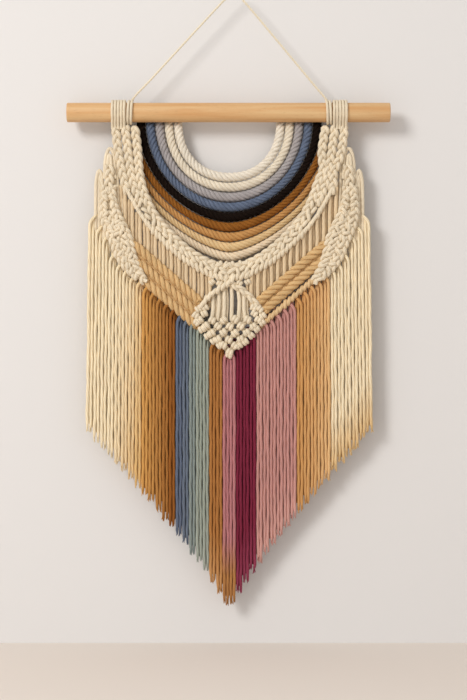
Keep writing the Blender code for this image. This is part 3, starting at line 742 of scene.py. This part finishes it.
class WALLHANGING_OT_hanging_cord(bpy.types.Operator):
    """Hang the cord over the nail and wrap its ends round the dowel"""
    bl_idname = "wall_hanging.hanging_cord"
    bl_label = "Hanging cord"

    def execute(self, context):
        # The hanging cord's darker, tanner dye is painted shade; its wrapped ends keep the undyed
        # cotton
        dye = tuple(context.scene.wall_hanging_cord.twine)
        twine = shared("cotton_twine", lambda name: cotton(name, dye, plies=5, ply_lay=6.0))
        radius = context.scene.wall_hanging_dowel.radius / MM
        foot = radius + DOWEL_CLEARANCE + HANGING_CORD + TOUCH
        side, peak = FIRST_STRAND, NAIL_RISE + HANGING_CORD / 2
        route = [(-side, foot - 0.5), (-side + 2.2, foot + 3.0), (-side + 6.5, foot + 8.0),
                 (-100.0, 37.7), (-75.0, 64.9), (-50.0, 92.1), (-25.0, 119.2), (-9.0, 136.4),
                 (-2.5, 142.9), (NAIL_OFFSET - 4.2, peak - 1.3), (NAIL_OFFSET, peak),
                 (NAIL_OFFSET + 4.0, peak - 1.4), (14.0, 142.2), (20.0, 135.8), (40.0, 112.1),
                 (62.0, 85.7), (85.0, 58.0), (104.0, 35.2), (side - 5.2, foot + 6.8),
                 (side - 1.6, foot + 2.6), (side, foot - 0.5)]
        path = [cloth_point(x, 0.0, -rise) for x, rise in route]
        skein = Skein()
        fine = evenly(path, 1.2)
        rope(skein, fine, [HANGING_CORD / 2] * len(fine), 9.0, 2, 8)
        cord = skein.piece("hanging_cord_twine", twine, "hanger")
        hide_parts("hanging_cord")
        reach = radius + DOWEL_CLEARANCE + HANGING_CORD / 2
        for name, mirror in (("left", -1), ("right", 1)):
            skein = Skein()
            coil = []
            for step in range(round(WRAP_TURNS * WRAP_STEPS) + 1):
                turn = step / WRAP_STEPS
                angle = 2 * pi * turn
                coil.append(cloth_point(mirror * (FIRST_STRAND + WRAP_PITCH * turn),
                                        -reach * sin(angle), -reach * cos(angle)))
            rise = [cloth_point(mirror * FIRST_STRAND, 0.0, -(foot + 1.0)),
                    cloth_point(mirror * FIRST_STRAND, 0.0, -(foot - 1.0))]
            path = evenly(smooth_path(rise + coil[1:], 2), 1.2)
            skein.cord(path, HANGING_CORD / 2 + 0.1, 10)
            wrap = skein.piece(f"hanging_cord_wrap_{name}_cord", undyed_cotton(), "hanger")
            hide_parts(f"hanging_cord_wrap_{name}")
        return {"FINISHED"}


class WALLHANGING_OT_draped_loops(bpy.types.Operator):
    """Fold the knotting cords over the dowel"""
    bl_idname = "wall_hanging.draped_loops"
    bl_label = "Draped loops"

    def execute(self, context):
        finish = undyed_cotton()
        draw = random.Random(5)
        radius = context.scene.wall_hanging_dowel.radius / MM
        reach = radius + DOWEL_CLEARANCE + LOOP_CORD / 2
        first = FIRST_STRAND + WRAP_PITCH * WRAP_TURNS + (HANGING_CORD + LOOP_CORD) / 2 + TOUCH
        for name, mirror in (("left", -1), ("right", 1)):
            for number in range(LOOPS):
                x = first + LOOP_PITCH * number
                path = []
                for y, drop in ((-LOOP_FOOT, BAND_TOP + 3.0), (-LOOP_FOOT - 1.5, BAND_TOP - 2.0)):
                    path.append(cloth_point(mirror * (x + draw.uniform(-0.4, 0.4)), y, drop))
                for degrees in range(-30, 211, 15):
                    angle = radians(degrees)
                    path.append(cloth_point(mirror * (x + draw.uniform(-0.12, 0.12)),
                                            -reach * cos(angle), -reach * sin(angle)))
                for y, drop in ((LOOP_FOOT + 1.5, BAND_TOP - 2.0), (LOOP_FOOT, BAND_TOP + 3.0)):
                    path.append(cloth_point(mirror * x, y, drop))
                skein = Skein()
                skein.cord(evenly(smooth_path(path, 3), 1.6), LOOP_CORD / 2 + 0.1, 10)
                loop = skein.piece(f"draped_loop_{name}_{number + 1}_cord", finish, "tapestry")
                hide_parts(f"draped_loop_{name}_{number + 1}")
        return {"FINISHED"}


def upper_band_stations():
    """The upper band's stations, with square ends at the dowel and on the centre line."""
    return [Vector(UPPER_BAND[0]), *smooth_path(UPPER_BAND[1:-1], 4), Vector(UPPER_BAND[-1])]


def arch_line(index, underside):
    """The middle of one arched rope as (x, drop) points, from right to left."""
    rank = index + 0.5
    half = ARCH_OPENING + ARCH_SIDE_PITCH * rank
    depth = ARCH_DEPTH + ARCH_BASE_PITCH * rank
    power = 2 / (ARCH_FULLNESS - ARCH_FLATTENING * rank)
    line = []
    for step in range(121):
        angle = pi * step / 120
        across = half * abs(cos(angle)) ** power
        line.append((across if angle < pi / 2 else -across,
                     underside + depth * max(sin(angle), 0.0) ** power))
    return line


def nearest(point, line):
    """Distance from a point to a polyline, in the plane."""
    best = 1e9
    for (x0, d0), (x1, d1) in zip(line, line[1:]):
        run_x, run_d = x1 - x0, d1 - d0
        size = run_x * run_x + run_d * run_d
        share = ((point[0] - x0) * run_x + (point[1] - d0) * run_d) / size if size else 0.0
        share = min(max(share, 0.0), 1.0)
        best = min(best, hypot(point[0] - x0 - run_x * share, point[1] - d0 - run_d * share))
    return best


class WALLHANGING_OT_arch_ropes(bpy.types.Operator):
    """Lay the nine arched ropes"""
    bl_idname = "wall_hanging.arch_ropes"
    bl_label = "Arched ropes"

    def execute(self, context):
        sizes = context.scene.wall_hanging_ropes
        radius = context.scene.wall_hanging_dowel.radius / MM
        lines = [arch_line(index, radius) for index in range(len(ARCH_ROPES))]
        edge = lane(upper_band_stations(), lambda width: -width / 2, 0.0, 1)
        inner_edge = [(drop_of(p), p.x + NAIL_OFFSET) for p in edge]
        thickest = ARCH_BASE_PITCH - TOUCH
        layer = BAND_BACK + TOUCH + thickest / 2
        around = radius + DOWEL_CLEARANCE + ARCH_SIDE_PITCH / 2
        for index, (name, _) in enumerate(ARCH_ROPES):
            line, on_dowel = lines[index], index < ROPES_ON_DOWEL
            if not on_dowel:
                line = [(x, drop) for x, drop in line
                        if drop > BAND_TOP + 20 and abs(x) < along(inner_edge, drop) + ROPE_TUCK]
            line = evenly([Vector((x, 0.0, drop)) for x, drop in line], 3.0)
            path, radii = [], []
            for x, _, drop in line:
                gap = min(nearest((x, drop), lines[other]) for other in (index - 1, index + 1)
                          if 0 <= other < len(lines))
                behind = sqrt(max(around ** 2 - drop ** 2, 0.0)) if on_dowel else 0.0
                path.append(Vector((x, max(layer, behind), drop)))
                radii.append(min(gap, thickest) / 2)
            if on_dowel:
                low = radians(ROPE_LIFT)
                lift = [(around * cos(low), around * sin(low)), (around, 0.0), (around, -ROPE_TOP)]
                path = ([Vector((path[0].x, y, d)) for y, d in reversed(lift)] + path
                        + [Vector((path[-1].x, y, d)) for y, d in lift])
                radii = radii[:1] * 3 + radii + radii[-1:] * 3
            rows = smooth_path([(*point, size) for point, size in zip(path, radii)], 3)
            path = [cloth_point(row[0], row[1], row[2]) for row in rows]
            total = travelled(path)
            sized = list(zip(total, [row[3] for row in rows]))
            fine = evenly(path, 1.8)
            step = total[-1] / (len(fine) - 1)
            radii = [along(sized, step * k) for k in range(len(fine))]
            skein = Skein()
            rope(skein, fine, radii, sizes.lay / MM, 4)
            dye = tuple(getattr(sizes, name))
            finish = cotton(f"laid_cotton_rope_{name}", dye, plies=9, ply_lay=-16.0, relief=0.5)
            made = skein.piece(f"arch_rope_{name}_laid", finish, "tapestry")
            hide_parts(f"arch_rope_{name}")
        return {"FINISHED"}


def plait_line(side, mirror, pinch, shift):
    """The middle of one of an upper band's plaits: side is 1 at its outer edge, -1 at its inner.

    The plaits draw together by pinch, and shift moves the band's top towards the centre line.
    """
    rows = upper_band_stations()
    outer = lane(rows, lambda width: width / 2 - LANE, KNOT_LAYER, mirror)
    inner = lane(rows, lambda width: INNER_LANE - width / 2, KNOT_LAYER, mirror)
    path = []
    for (_, drop, _), outermost, innermost in zip(rows, outer, inner):
        spread = 1.0
        if drop <= SPREAD_END:
            spread = BAND_SPREAD - pinch * exp(-((drop - PINCH_DROP) / PINCH_REACH) ** 2)
        inward = shift * max(1.0 - (drop - BAND_TOP) / SHIFT_LENGTH, 0.0)
        path.append(outermost.lerp(innermost, 0.5 - side * spread / 2)
                    - Vector((mirror * inward, 0.0, 0.0)))
    return path


class WALLHANGING_OT_upper_bands(bpy.types.Operator):
    """Plait and knot the two bands that carry the arched ropes"""
    bl_idname = "wall_hanging.upper_bands"
    bl_label = "Upper bands"

    def execute(self, context):
        finish = undyed_cotton()
        cord = context.scene.wall_hanging_cord.cord / MM / 2
        for name, mirror, pinch, shift, seed in (("left", -1, 0.0, 3.0, 11),
                                                 ("right", 1, 0.42, 1.0, 12)):
            draw = random.Random(seed)
            columns = {side: plait_line(side, mirror, pinch, shift) for side in (-1, 0, 1)}
            skein = Skein()
            for side, lowest in PLAIT_ENDS:
                path = [p for p in columns[side] if drop_of(p) < lowest]
                rise = -1.2 if side == -1 else 1.6
                path[:1] = [path[0] + Vector((0.0, 5.0, rise)),
                            path[0] + Vector((0.0, 1.6, rise / 2))]
                plait(skein, path, BAND_PLAIT, cord * 1.06, BAND_PLAIT_LAY, draw.uniform(0, 6))
            core = [p + Vector((0.0, 2.2, 0.0)) for p in columns[0] if drop_of(p) > SPREAD_END]
            skein.cord(evenly(core, 2.0), 2.6)
            lower = [p for p in columns[1] if drop_of(p) >= SPREAD_END - 10.0]
            upright = Vector((mirror * 0.35, 0.0, 1.0)).normalized()
            hitches(skein, lower, 6.4, 4.6, cord, upright, draw)
            inner, outer = columns[-1], columns[1]
            total, run = travelled(inner), travelled(outer)
            distance = 84.0
            while distance < total[-1]:
                here = at_distance(inner, total, distance)
                there = at_distance(outer, run, run[-1] * distance / total[-1])
                place = here.lerp(there, draw.uniform(0.45, 0.6)) + OUT * 1.2
                lobe(skein, place, slanted(upright, draw.uniform(-50, 50)), 3.6, 2.6, cord * 0.95)
                distance += draw.uniform(8.0, 11.0)
            x = 3.0
            while x < 56.0:
                for drop in CENTRE_ROWS if x < CENTRE_REACH else CENTRE_ROWS[:1]:
                    place = cloth_point(mirror * x, -2.0 + (drop > 210), drop - 0.0042 * x * x)
                    square_knot(skein, place, 4.3 * draw.uniform(0.9, 1.05), cord * 0.9, draw)
                x += draw.uniform(8.0, 10.5)
            band = skein.piece(f"upper_band_{name}_knots", finish, "tapestry")
            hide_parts(f"upper_band_{name}")
        return {"FINISHED"}


class WALLHANGING_OT_side_bands(bpy.types.Operator):
    """Knot the outer bands and hang their side loops"""
    bl_idname = "wall_hanging.side_bands"
    bl_label = "Outer bands and side loops"

    def execute(self, context):
        finish = undyed_cotton()
        cord = context.scene.wall_hanging_cord.cord / MM / 2
        for name, mirror, seed in (("left", -1, 21), ("right", 1, 22)):
            draw = random.Random(seed)
            stations = smooth_path(OUTER_BAND, 4)
            middle = lane(stations, lambda width: 0.0, KNOT_LAYER, mirror)
            total = travelled(middle)
            widths = list(zip(total, [row[2] for row in stations]))
            tangents, _, _ = carried_frames(middle)
            skein = Skein()
            chain = [p for p in middle if OUTER_CHAIN[0] < drop_of(p) < OUTER_CHAIN[1]]
            plait(skein, chain, 13.5, cord, 32.0, 1.0)
            for side, first, last in OUTER_PLAITS:
                row = lane(stations, lambda width: side * (width / 2 - LANE + 0.4),
                           KNOT_LAYER, mirror)
                column = [p for p in row if first < drop_of(p) < last]
                plait(skein, column, 11.6, cord, draw.uniform(25, 28), draw.uniform(0, 6))
            core = [p + Vector((0.0, 3.6, 0.0)) for p in middle if 70 < drop_of(p) < 200]
            skein.cord(evenly(core, 2.0), 3.2)
            distance = 50.0
            while distance < total[-1] - 8:
                width = along(widths, distance)
                centre = at_distance(middle, total, distance)
                tangent = tangents[min(bisect.bisect(total, distance), len(middle) - 1)]
                for sign in (-1, 1):
                    place = centre + tangent.cross(OUT) * sign * width * 0.22 + OUT * 1.4
                    lean = slanted(tangent, draw.uniform(25, 60) * draw.choice((-1, 1)))
                    lobe(skein, place, lean, 3.4, 2.6, cord * 0.95)
                distance += draw.uniform(7.5, 10.0)
            if name == "left":
                centre = cloth_point(ROSETTE[0], -5.0, ROSETTE[1])
                for ring, count, half in ROSETTE_RINGS:
                    for number in range(count):
                        spoke = slanted(UP, 360 * number / count)
                        lobe(skein, centre + spoke * ring, slanted(spoke, 64), half, 2.4,
                             cord * 0.93)
            band = skein.piece(f"outer_band_{name}_knots", finish, "tapestry")
            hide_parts(f"outer_band_{name}")

            skein = Skein()
            for y, route in SIDE_LOOPS:
                shift = draw.uniform(-0.5, 0.5)
                path = [cloth_point(mirror * (x + shift - 0.6), y, drop) for x, drop in route]
                skein.cord(evenly(smooth_path(path, 4), 2.0), cord * 0.9, 10)
            loops = skein.piece(f"side_loops_{name}_cords", finish, "tapestry")
            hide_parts(f"side_loops_{name}")
        return {"FINISHED"}


def v_drop(number, x):
    """Drop of a V rope's middle at a distance from the textile's centre line."""
    pitch = V_ROPE + V_GAP
    below = {1: 0.0, 2: pitch, 3: 2 * pitch,
             "edge": pitch + (V_ROPE + V_EDGE_CORD) / 2 + V_EDGE_GAP}
    return V_FIRST_DROP - V_SLOPE * x + below[number] * V_LEAN


class WALLHANGING_OT_spacer_cords(bpy.types.Operator):
    """Hang the upright cords between the upper bands and the V ropes"""
    bl_idname = "wall_hanging.spacer_cords"
    bl_label = "Spacer cords"

    def execute(self, context):
        # The spacers' darker, more golden copy of the undyed cotton is painted shade
        dye = tuple(context.scene.wall_hanging_cord.spacer)
        finish = shared("spacer_cotton_cord", lambda name: cotton(name, dye))
        cord = SPACER_CORD / 2
        stations = upper_band_stations()
        for name, mirror, seed in (("left", -1, 31), ("right", 1, 32)):
            draw = random.Random(seed)
            edge = lane(stations, lambda width: width / 2, 0.0, 1)
            rail = sorted((p.x + NAIL_OFFSET, drop_of(p)) for p in edge
                          if drop_of(p) > 96)
            skein = Skein()
            count = SPACERS[name]
            for number in range(count):
                x = SPACER_LAST + (SPACER_FIRST - SPACER_LAST) * number / (count - 1)
                top, foot = along(rail, x) - 3.0, v_drop(1, x) - 3.0
                bow = draw.uniform(-0.8, 0.8)
                for shift, depth, thickness in SPACER_ROWS:
                    across = x - mirror * shift
                    route = [(across, -1.0, top - 4.0), (across, -1.4, top + 2.0),
                             (across + bow * 0.4, -0.6, top + 8.0),
                             (across + bow, 0.2, (top + foot) / 2 + 2.0),
                             (across + bow * 0.3, 1.0, foot - 5.0), (across, 3.0, foot + 1.0)]
                    path = [cloth_point(mirror * px, y + depth, drop) for px, y, drop in route]
                    skein.cord(evenly(smooth_path(path, 4), 2.0), cord * thickness)
            spacers = skein.piece(f"spacer_cords_{name}_cords", finish, "tapestry")
            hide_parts(f"spacer_cords_{name}")
        return {"FINISHED"}


class WALLHANGING_OT_v_ropes(bpy.types.Operator):
    """Lay the slanting ropes of the V"""
    bl_idname = "wall_hanging.v_ropes"
    bl_label = "V ropes"

    def execute(self, context):
        sizes = context.scene.wall_hanging_ropes
        rope_dye, edge_dye = tuple(sizes.v_rope), tuple(sizes.v_edge)
        finish = shared("laid_cotton_rope_v", lambda name: cotton(
            name, rope_dye, plies=9, ply_lay=-16.0, relief=0.5))
        edge_finish = shared("knotted_cord_v_edge", lambda name: cotton(name, edge_dye))
        pieces = [("left_1", 1, -1), ("left_2", 2, -1), ("left_3", 3, -1), ("right_1", 1, 1),
                  ("right_2", 2, 1), ("edge", "edge", 1)]
        draw = random.Random(41)
        for name, number, mirror in pieces:
            top, bottom = V_UPPER_END[number], V_LOWER_END[number]
            diameter = V_EDGE_CORD if number == "edge" else V_ROPE
            tucked = V_DIVE if number != "edge" else 1.5 + TOUCH + diameter / 2
            bend = [(0.0, tucked), (V_HIDDEN, tucked), (V_HIDDEN + V_BEND, 0.0)]
            bend[2:2] = [(V_HIDDEN + V_BEND * run, tucked * back) for run, back in V_BEND_SHAPE]
            route = [(top - run, y) for run, y in bend]
            route += [(bottom + run, y) for run, y in reversed(bend)]
            path = [cloth_point(mirror * x, y, v_drop(number, x)) for x, y in route]
            fine = evenly(smooth_path(path, 6), 1.8)
            skein = Skein()
            if number == "edge":
                hitches(skein, fine, 6.6, 4.4, 2.5, Vector((0.42, 0.0, 0.9)), draw)
                made = skein.piece("v_edge_cord_right_hitches", edge_finish, "tapestry")
                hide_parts("v_edge_cord_right")
            else:
                rope(skein, fine, [diameter / 2] * len(fine), V_LAY)
                if f"{name[:-1]}{number + 1}" in [piece[0] for piece in pieces]:
                    joint = Vector((0.0, LASH_BACK, -(V_ROPE + V_GAP) / 2 * V_LEAN))
                    skein.cord([p + joint for p in fine[8:-8]], LASH)
                made = skein.piece(f"v_rope_{name}_laid", finish, "tapestry")
                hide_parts(f"v_rope_{name}")
        return {"FINISHED"}


class WALLHANGING_OT_centre_diamond(bpy.types.Operator):
    """Knot the two arms and the diamond of square knots"""
    bl_idname = "wall_hanging.centre_diamond"
    bl_label = "Centre diamond"

    def execute(self, context):
        finish = undyed_cotton()
        cord = context.scene.wall_hanging_cord.cord / MM / 2
        draw = random.Random(51)
        for name, mirror in (("left", -1), ("right", 1)):
            y = KNOT_LAYER - 2.0 if name == "left" else KNOT_LAYER
            path = smooth_path([cloth_point(mirror * x, y, drop) for x, drop in DIAMOND_ARM], 6)
            skein = Skein()
            if name == "left":
                hitches(skein, path, 6.9, 4.4, cord * 1.06, Vector((0.42, 0.0, 0.9)), draw)
            else:
                plait(skein, path, 9.6, cord * 0.95, 38.0, 2.0)
            arm = skein.piece(f"diamond_arm_{name}_hitches", finish, "tapestry")
            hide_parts(f"diamond_arm_{name}")
        skein = Skein()
        rows = []
        for row in range(LATTICE_ROWS):
            count = LATTICE_ROWS - row
            drop = LATTICE_FIRST + LATTICE_STEP * row
            places = [cloth_point((number - (count - 1) / 2) * LATTICE_PITCH
                                  + draw.uniform(-0.8, 0.8), -2.4, drop + draw.uniform(-0.6, 0.6))
                      for number in range(count)]
            for place in places:
                square_knot(skein, place + OUT * 1.0, draw.uniform(4.6, 5.1), cord, draw)
            rows.append(places)
        border = [(x, along(HEM_UNDER_LATTICE, x) - 4.5) for x in BORDER_KNOTS]
        for side in (-1, 1):
            for x, drop in CORNER_KNOTS + border:
                square_knot(skein, cloth_point(side * x, -2.8, drop + draw.uniform(-0.6, 0.6)),
                            draw.uniform(4.4, 5.0), cord * 0.97, draw)
        square_knot(skein, cloth_point(0.0, -1.8, 299.5), 5.2, cord, draw)
        for upper, lower in zip(rows, rows[1:]):
            for number, place in enumerate(lower):
                for other in (upper[number], upper[number + 1]):
                    for shift in (-1.5, 1.5):
                        across = Vector((shift, 0.0, 0.0))
                        leg(skein, other + across, place + across, cord * 0.72,
                            draw.uniform(-0.6, 0.6), -1.8)
        for number, x in enumerate(LATTICE_CORDS):
            arm = along(LATTICE_CORD_TOPS, abs(x))
            foot = LATTICE_FIRST - (5.0 if number % 2 else 2.0)
            middle = (arm + foot) / 2
            bow = draw.uniform(-1.6, 1.6)
            path = [cloth_point(px, y, drop) for px, y, drop in (
                (x * 0.96, -0.4, arm), (x + bow, -2.2, middle - 5), (x + bow, -2.8, middle + 5),
                (x * 1.02, -2.0, foot + 2.0), (x * 1.02, -0.5, foot + 6.0))]
            skein.cord(evenly(smooth_path(path, 4), 2.0), cord * 0.98)
            if number != 3:
                behind = [p + Vector((3.6, 3.4, 0.0)) for p in path]
                skein.cord(evenly(smooth_path(behind, 4), 2.0), cord * 0.9)
        lattice = skein.piece("centre_lattice_knots", finish, "tapestry")
        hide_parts("centre_lattice")
        return {"FINISHED"}


def fringe_end(x):
    """Drop of the fringe's lower edge."""
    outermost = FRINGE_PITCH * sum(group[1] for group in FRINGE) / 2
    return FRINGE_TIP - FRINGE_RISE * (min(abs(x), outermost) / outermost) ** FRINGE_CURVE


def hem_line():
    """Drop of the fringe's upper edge, from the centre line out."""
    ropes = [(end, v_drop(3, end) + V_ROPE / 2 * V_LEAN + below) for end, below in HEM_UNDER_ROPES]
    return HEM_UNDER_LATTICE + ropes + HEM_UNDER_BANDS


def hem_drop(x, reach=0.0):
    """The hem's drop at x, or the greatest within reach of it to either side."""
    hem = hem_line()
    return max(along(hem, min(abs(x + shift), hem[-1][0])) for shift in (-reach, 0.0, reach))


def frayed_end(skein, end, radius, fray, dip, draw):
    """Loose yarns at the end of a cord."""
    for _ in range(YARNS):
        angle = draw.uniform(0, 2 * pi)
        start = end + Vector((cos(angle), sin(angle), 0.0)) * radius * 0.5
        spread = Vector((draw.gauss(0, 0.7), draw.gauss(0, 0.4), 0.0))
        length = fray * draw.uniform(0.55, 1.25)
        path = [start + Vector((0.0, 0.0, fray * 0.4)),
                start + spread * 0.15 - Vector((0.0, 0.0, length * 0.3)),
                start + spread * 0.6 - Vector((0.0, 0.0, length * 0.7)),
                start + spread * 1.2 - Vector((0.0, 0.0, length))]
        skein.cord(path, [radius * share for share in YARN_TAPER], 4, dip)


class WALLHANGING_OT_fringe(bpy.types.Operator):
    """Hang the dyed fringe"""
    bl_idname = "wall_hanging.fringe"
    bl_label = "Fringe"

    def execute(self, context):
        sizes = context.scene.wall_hanging_fringe
        fray, sway = sizes.fray / MM, sizes.sway / MM
        left = -FRINGE_PITCH * sum(group[1] for group in FRINGE) / 2
        radius = FRINGE_PITCH / 4 - STRAND_SLACK
        draw = random.Random(61)
        for name, count, _, _ in FRINGE:
            skein = Skein()
            columns = [left + FRINGE_PITCH * count * share / 24 for share in range(25)]
            hinge = max(hem_drop(x, CORNER_REACH) for x in columns) + HEAD_DEPTH
            for number in range(count):
                middle = left + FRINGE_PITCH * (number + 0.5)
                inward = 1 if middle < 0 else -1
                hem = hem_drop(middle) - 1.0 + draw.uniform(-0.6, 0.6)
                finish_line = fringe_end(middle) - fray * 0.6
                for strand, place in STRAND_PLACES.items():
                    behind = abs(strand) == 2
                    x = middle + inward * FRINGE_PITCH * place
                    if strand == -1:
                        top = [(middle + inward * 6.6, 3.8, hem - 6.0),
                               (middle + inward * 4.4, 1.0, hem - 3.0),
                               (middle + inward * 1.4, -1.6, hem),
                               (middle - inward * 1.3, -1.9, hem + 4.2), (x, -1.5, hem + 11.0)]
                    else:
                        y, rise = (2.8, 11.0) if behind else (0.8, 6.0)
                        rise = min(rise, 2.0) if abs(middle) > SIDE_HEM else rise
                        top = [(x + inward * 2.0, 3.4 + y * 0.3, hem - rise),
                               (x + inward * 0.4, 1.2 + y, hem + 1.0), (x, 0.7 + y, hem + 10.0)]
                    depth = STRAND_DEPTHS[strand]
                    end = finish_line + draw.gauss(0, 1.4) - (3.0 if behind else 0.0)
                    wander = [(draw.uniform(0, 2 * pi), draw.uniform(0.5, 1.0) * sway, period)
                              for period in SWAY_PERIODS]
                    run = end - hem - FRINGE_SHOULDER
                    body, steps = [], max(round(run / 7.0), 4)
                    for step in range(steps + 1):
                        share = step / steps
                        drop = hem + FRINGE_SHOULDER + run * share
                        ease = min(share * 5, 1.0)
                        shift = sum(size * sin(2 * pi * drop / period + start)
                                    for start, size, period in wander) * ease
                        body.append((x * (1 + 0.018 * (x / 175) ** 2 * share) + shift,
                                     depth + 0.5 * shift, drop))
                    path = [cloth_point(*point) for point in top + body]
                    fine = evenly(smooth_path(path, 3), 4.0)
                    drops = [drop_of(p) for p in fine]
                    dip = self.dips(name, number, drops, hem, end)
                    radii = [radius] * len(fine)
                    radii[-1], radii[-2] = radius * 0.6, radius * 0.92
                    skein.cord(fine, radii, 6 if behind else 8, dip)
                    if not behind:
                        frayed_end(skein, fine[-1], radius, fray, dip[-1], draw)
            dye, ends = tuple(getattr(sizes, name)), tuple(getattr(sizes, f"{name}_ends"))
            finish = cotton(f"dyed_cotton_{name}", dye, ends, plies=4, ply_lay=14.0)
            cords = skein.piece(f"fringe_{name}_cords", finish)
            centre = left + FRINGE_PITCH * count / 2
            end = cloth_point(centre, 0.0, hinge + 22.0) * MM
            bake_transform(cords)
            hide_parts(f"fringe_head_{name}", f"fringe_skirt_{name}")
            left += FRINGE_PITCH * count
        return {"FINISHED"}

    @staticmethod
    def dips(name, number, drops, hem, end):
        """How far each point of a cord has taken its group's second dye, 0 to 1."""
        def below(start, length):
            return [min(max((drop - start) / length, 0.0), 1.0) for drop in drops]
        if name == "cream_left":
            top, low = CREAM_TOPS[number], max(number - 3, 0) * CREAM_DEEPENING
            return [top + (low - top) * share for share in below(hem, end - hem)]
        if name in CORD_SHADES:
            return [CORD_SHADES[name][number]] * len(drops)
        if name == "rose":
            return below(end - 75.0, 45.0)
        return below(end - 60.0, 60.0)


class WALLHANGING_OT_studio(bpy.types.Operator):
    """Set the wall, floor, camera and lights"""
    bl_idname = "wall_hanging.studio"
    bl_label = "Studio"

    def execute(self, context):
        look = context.scene.wall_hanging_studio
        for name, colour, one_sided in (("studio_wall", look.wall, True),
                                        ("studio_floor", look.floor, False)):
            bm = bmesh.new()
            bmesh.ops.create_grid(bm, x_segments=1, y_segments=1, size=0.5)
            if one_sided:
                bmesh.ops.scale(bm, verts=bm.verts, vec=(STAGE_WIDTH, STAGE_HEIGHT, 1.0))
                bmesh.ops.rotate(bm, verts=bm.verts, matrix=Matrix.Rotation(pi / 2, 3, "X"))
                bmesh.ops.translate(bm, verts=bm.verts,
                                    vec=(0.0, WALL_DEPTH, FLOOR_LEVEL + STAGE_HEIGHT / 2))
            else:
                bmesh.ops.scale(bm, verts=bm.verts, vec=(STAGE_WIDTH, STAGE_DEPTH, 1.0))
                bmesh.ops.translate(bm, verts=bm.verts,
                                    vec=(0.0, WALL_DEPTH - STAGE_DEPTH / 2, FLOOR_LEVEL))
            mesh = bpy.data.meshes.new(name)
            bm.to_mesh(mesh)
            bm.free()
            paint = wall_paint("wall_emulsion" if one_sided else "floor_paint",
                               tuple(colour), one_sided)
            show(name, mesh, paint)

        camera = bpy.data.cameras.new("camera")
        camera.sensor_fit = "VERTICAL"
        camera.sensor_height = 36.0
        camera.lens = camera.sensor_height * VIEW_DISTANCE / VIEW_HEIGHT
        camera.clip_end = 20.0
        viewer = bpy.data.objects.new("camera", camera)
        viewer.location = (VIEW_PLACE[0], -VIEW_DISTANCE, VIEW_PLACE[1])
        viewer.rotation_euler = (pi / 2, 0.0, 0.0)
        context.scene.collection.objects.link(viewer)
        context.scene.camera = viewer

        lamp = bpy.data.lights.new("key", "AREA")
        lamp.shape = "DISK"
        lamp.size = KEY_WIDTH
        lamp.energy = look.key
        lamp.color = KEY_TINT
        key = bpy.data.objects.new("key", lamp)
        key.location = KEY_PLACE
        key.rotation_euler = (Vector(KEY_AIM) - key.location).to_track_quat("-Z", "Y").to_euler()
        context.scene.collection.objects.link(key)
        world = bpy.data.worlds.new("soft_room_light")
        world.use_nodes = True
        background = world.node_tree.nodes["Background"]
        background.inputs[0].default_value = SKY_TINT
        background.inputs[1].default_value = look.sky
        context.scene.world = world
        context.scene.view_settings.view_transform = "Standard"
        return {"FINISHED"}


class WALLHANGING_PT_sidebar(bpy.types.Panel):
    """Lists the sizes, dyes and steps of the wall hanging"""
    bl_idname = "WALLHANGING_PT_sidebar"
    bl_label = "Wall hanging"
    bl_space_type = "VIEW_3D"
    bl_region_type = "UI"
    bl_category = "Wall hanging"

    def draw(self, context):
        for name, group in SETTINGS.items():
            box = self.layout.box()
            box.label(text=group.__doc__)
            for prop in getattr(context.scene, name).bl_rna.properties:
                if prop.identifier not in ("name", "rna_type"):
                    box.prop(getattr(context.scene, name), prop.identifier)
        for step in STEPS:
            self.layout.operator(step.bl_idname)


SETTINGS = {
    "wall_hanging_dowel": WallHangingDowel, "wall_hanging_cord": WallHangingCord,
    "wall_hanging_ropes": WallHangingRopes, "wall_hanging_fringe": WallHangingFringe,
    "wall_hanging_studio": WallHangingStudio}
STEPS = [
    WALLHANGING_OT_studio, WALLHANGING_OT_hanging_cord, WALLHANGING_OT_dowel,
    WALLHANGING_OT_draped_loops, WALLHANGING_OT_arch_ropes, WALLHANGING_OT_upper_bands,
    WALLHANGING_OT_side_bands, WALLHANGING_OT_spacer_cords, WALLHANGING_OT_v_ropes,
    WALLHANGING_OT_centre_diamond, WALLHANGING_OT_fringe]


def register():
    for group in SETTINGS.values():
        bpy.utils.register_class(group)
    for name, group in SETTINGS.items():
        setattr(bpy.types.Scene, name, bpy.props.PointerProperty(type=group))
    for step in (*STEPS, WALLHANGING_PT_sidebar):
        bpy.utils.register_class(step)


def unregister():
    for step in (WALLHANGING_PT_sidebar, *reversed(STEPS)):
        bpy.utils.unregister_class(step)
    for name, group in SETTINGS.items():
        delattr(bpy.types.Scene, name)
        bpy.utils.unregister_class(group)


def main():
    register()
    for step in STEPS:
        category, name = step.bl_idname.split(".")
        getattr(getattr(bpy.ops, category), name)()


if __name__ == "__main__":
    main()
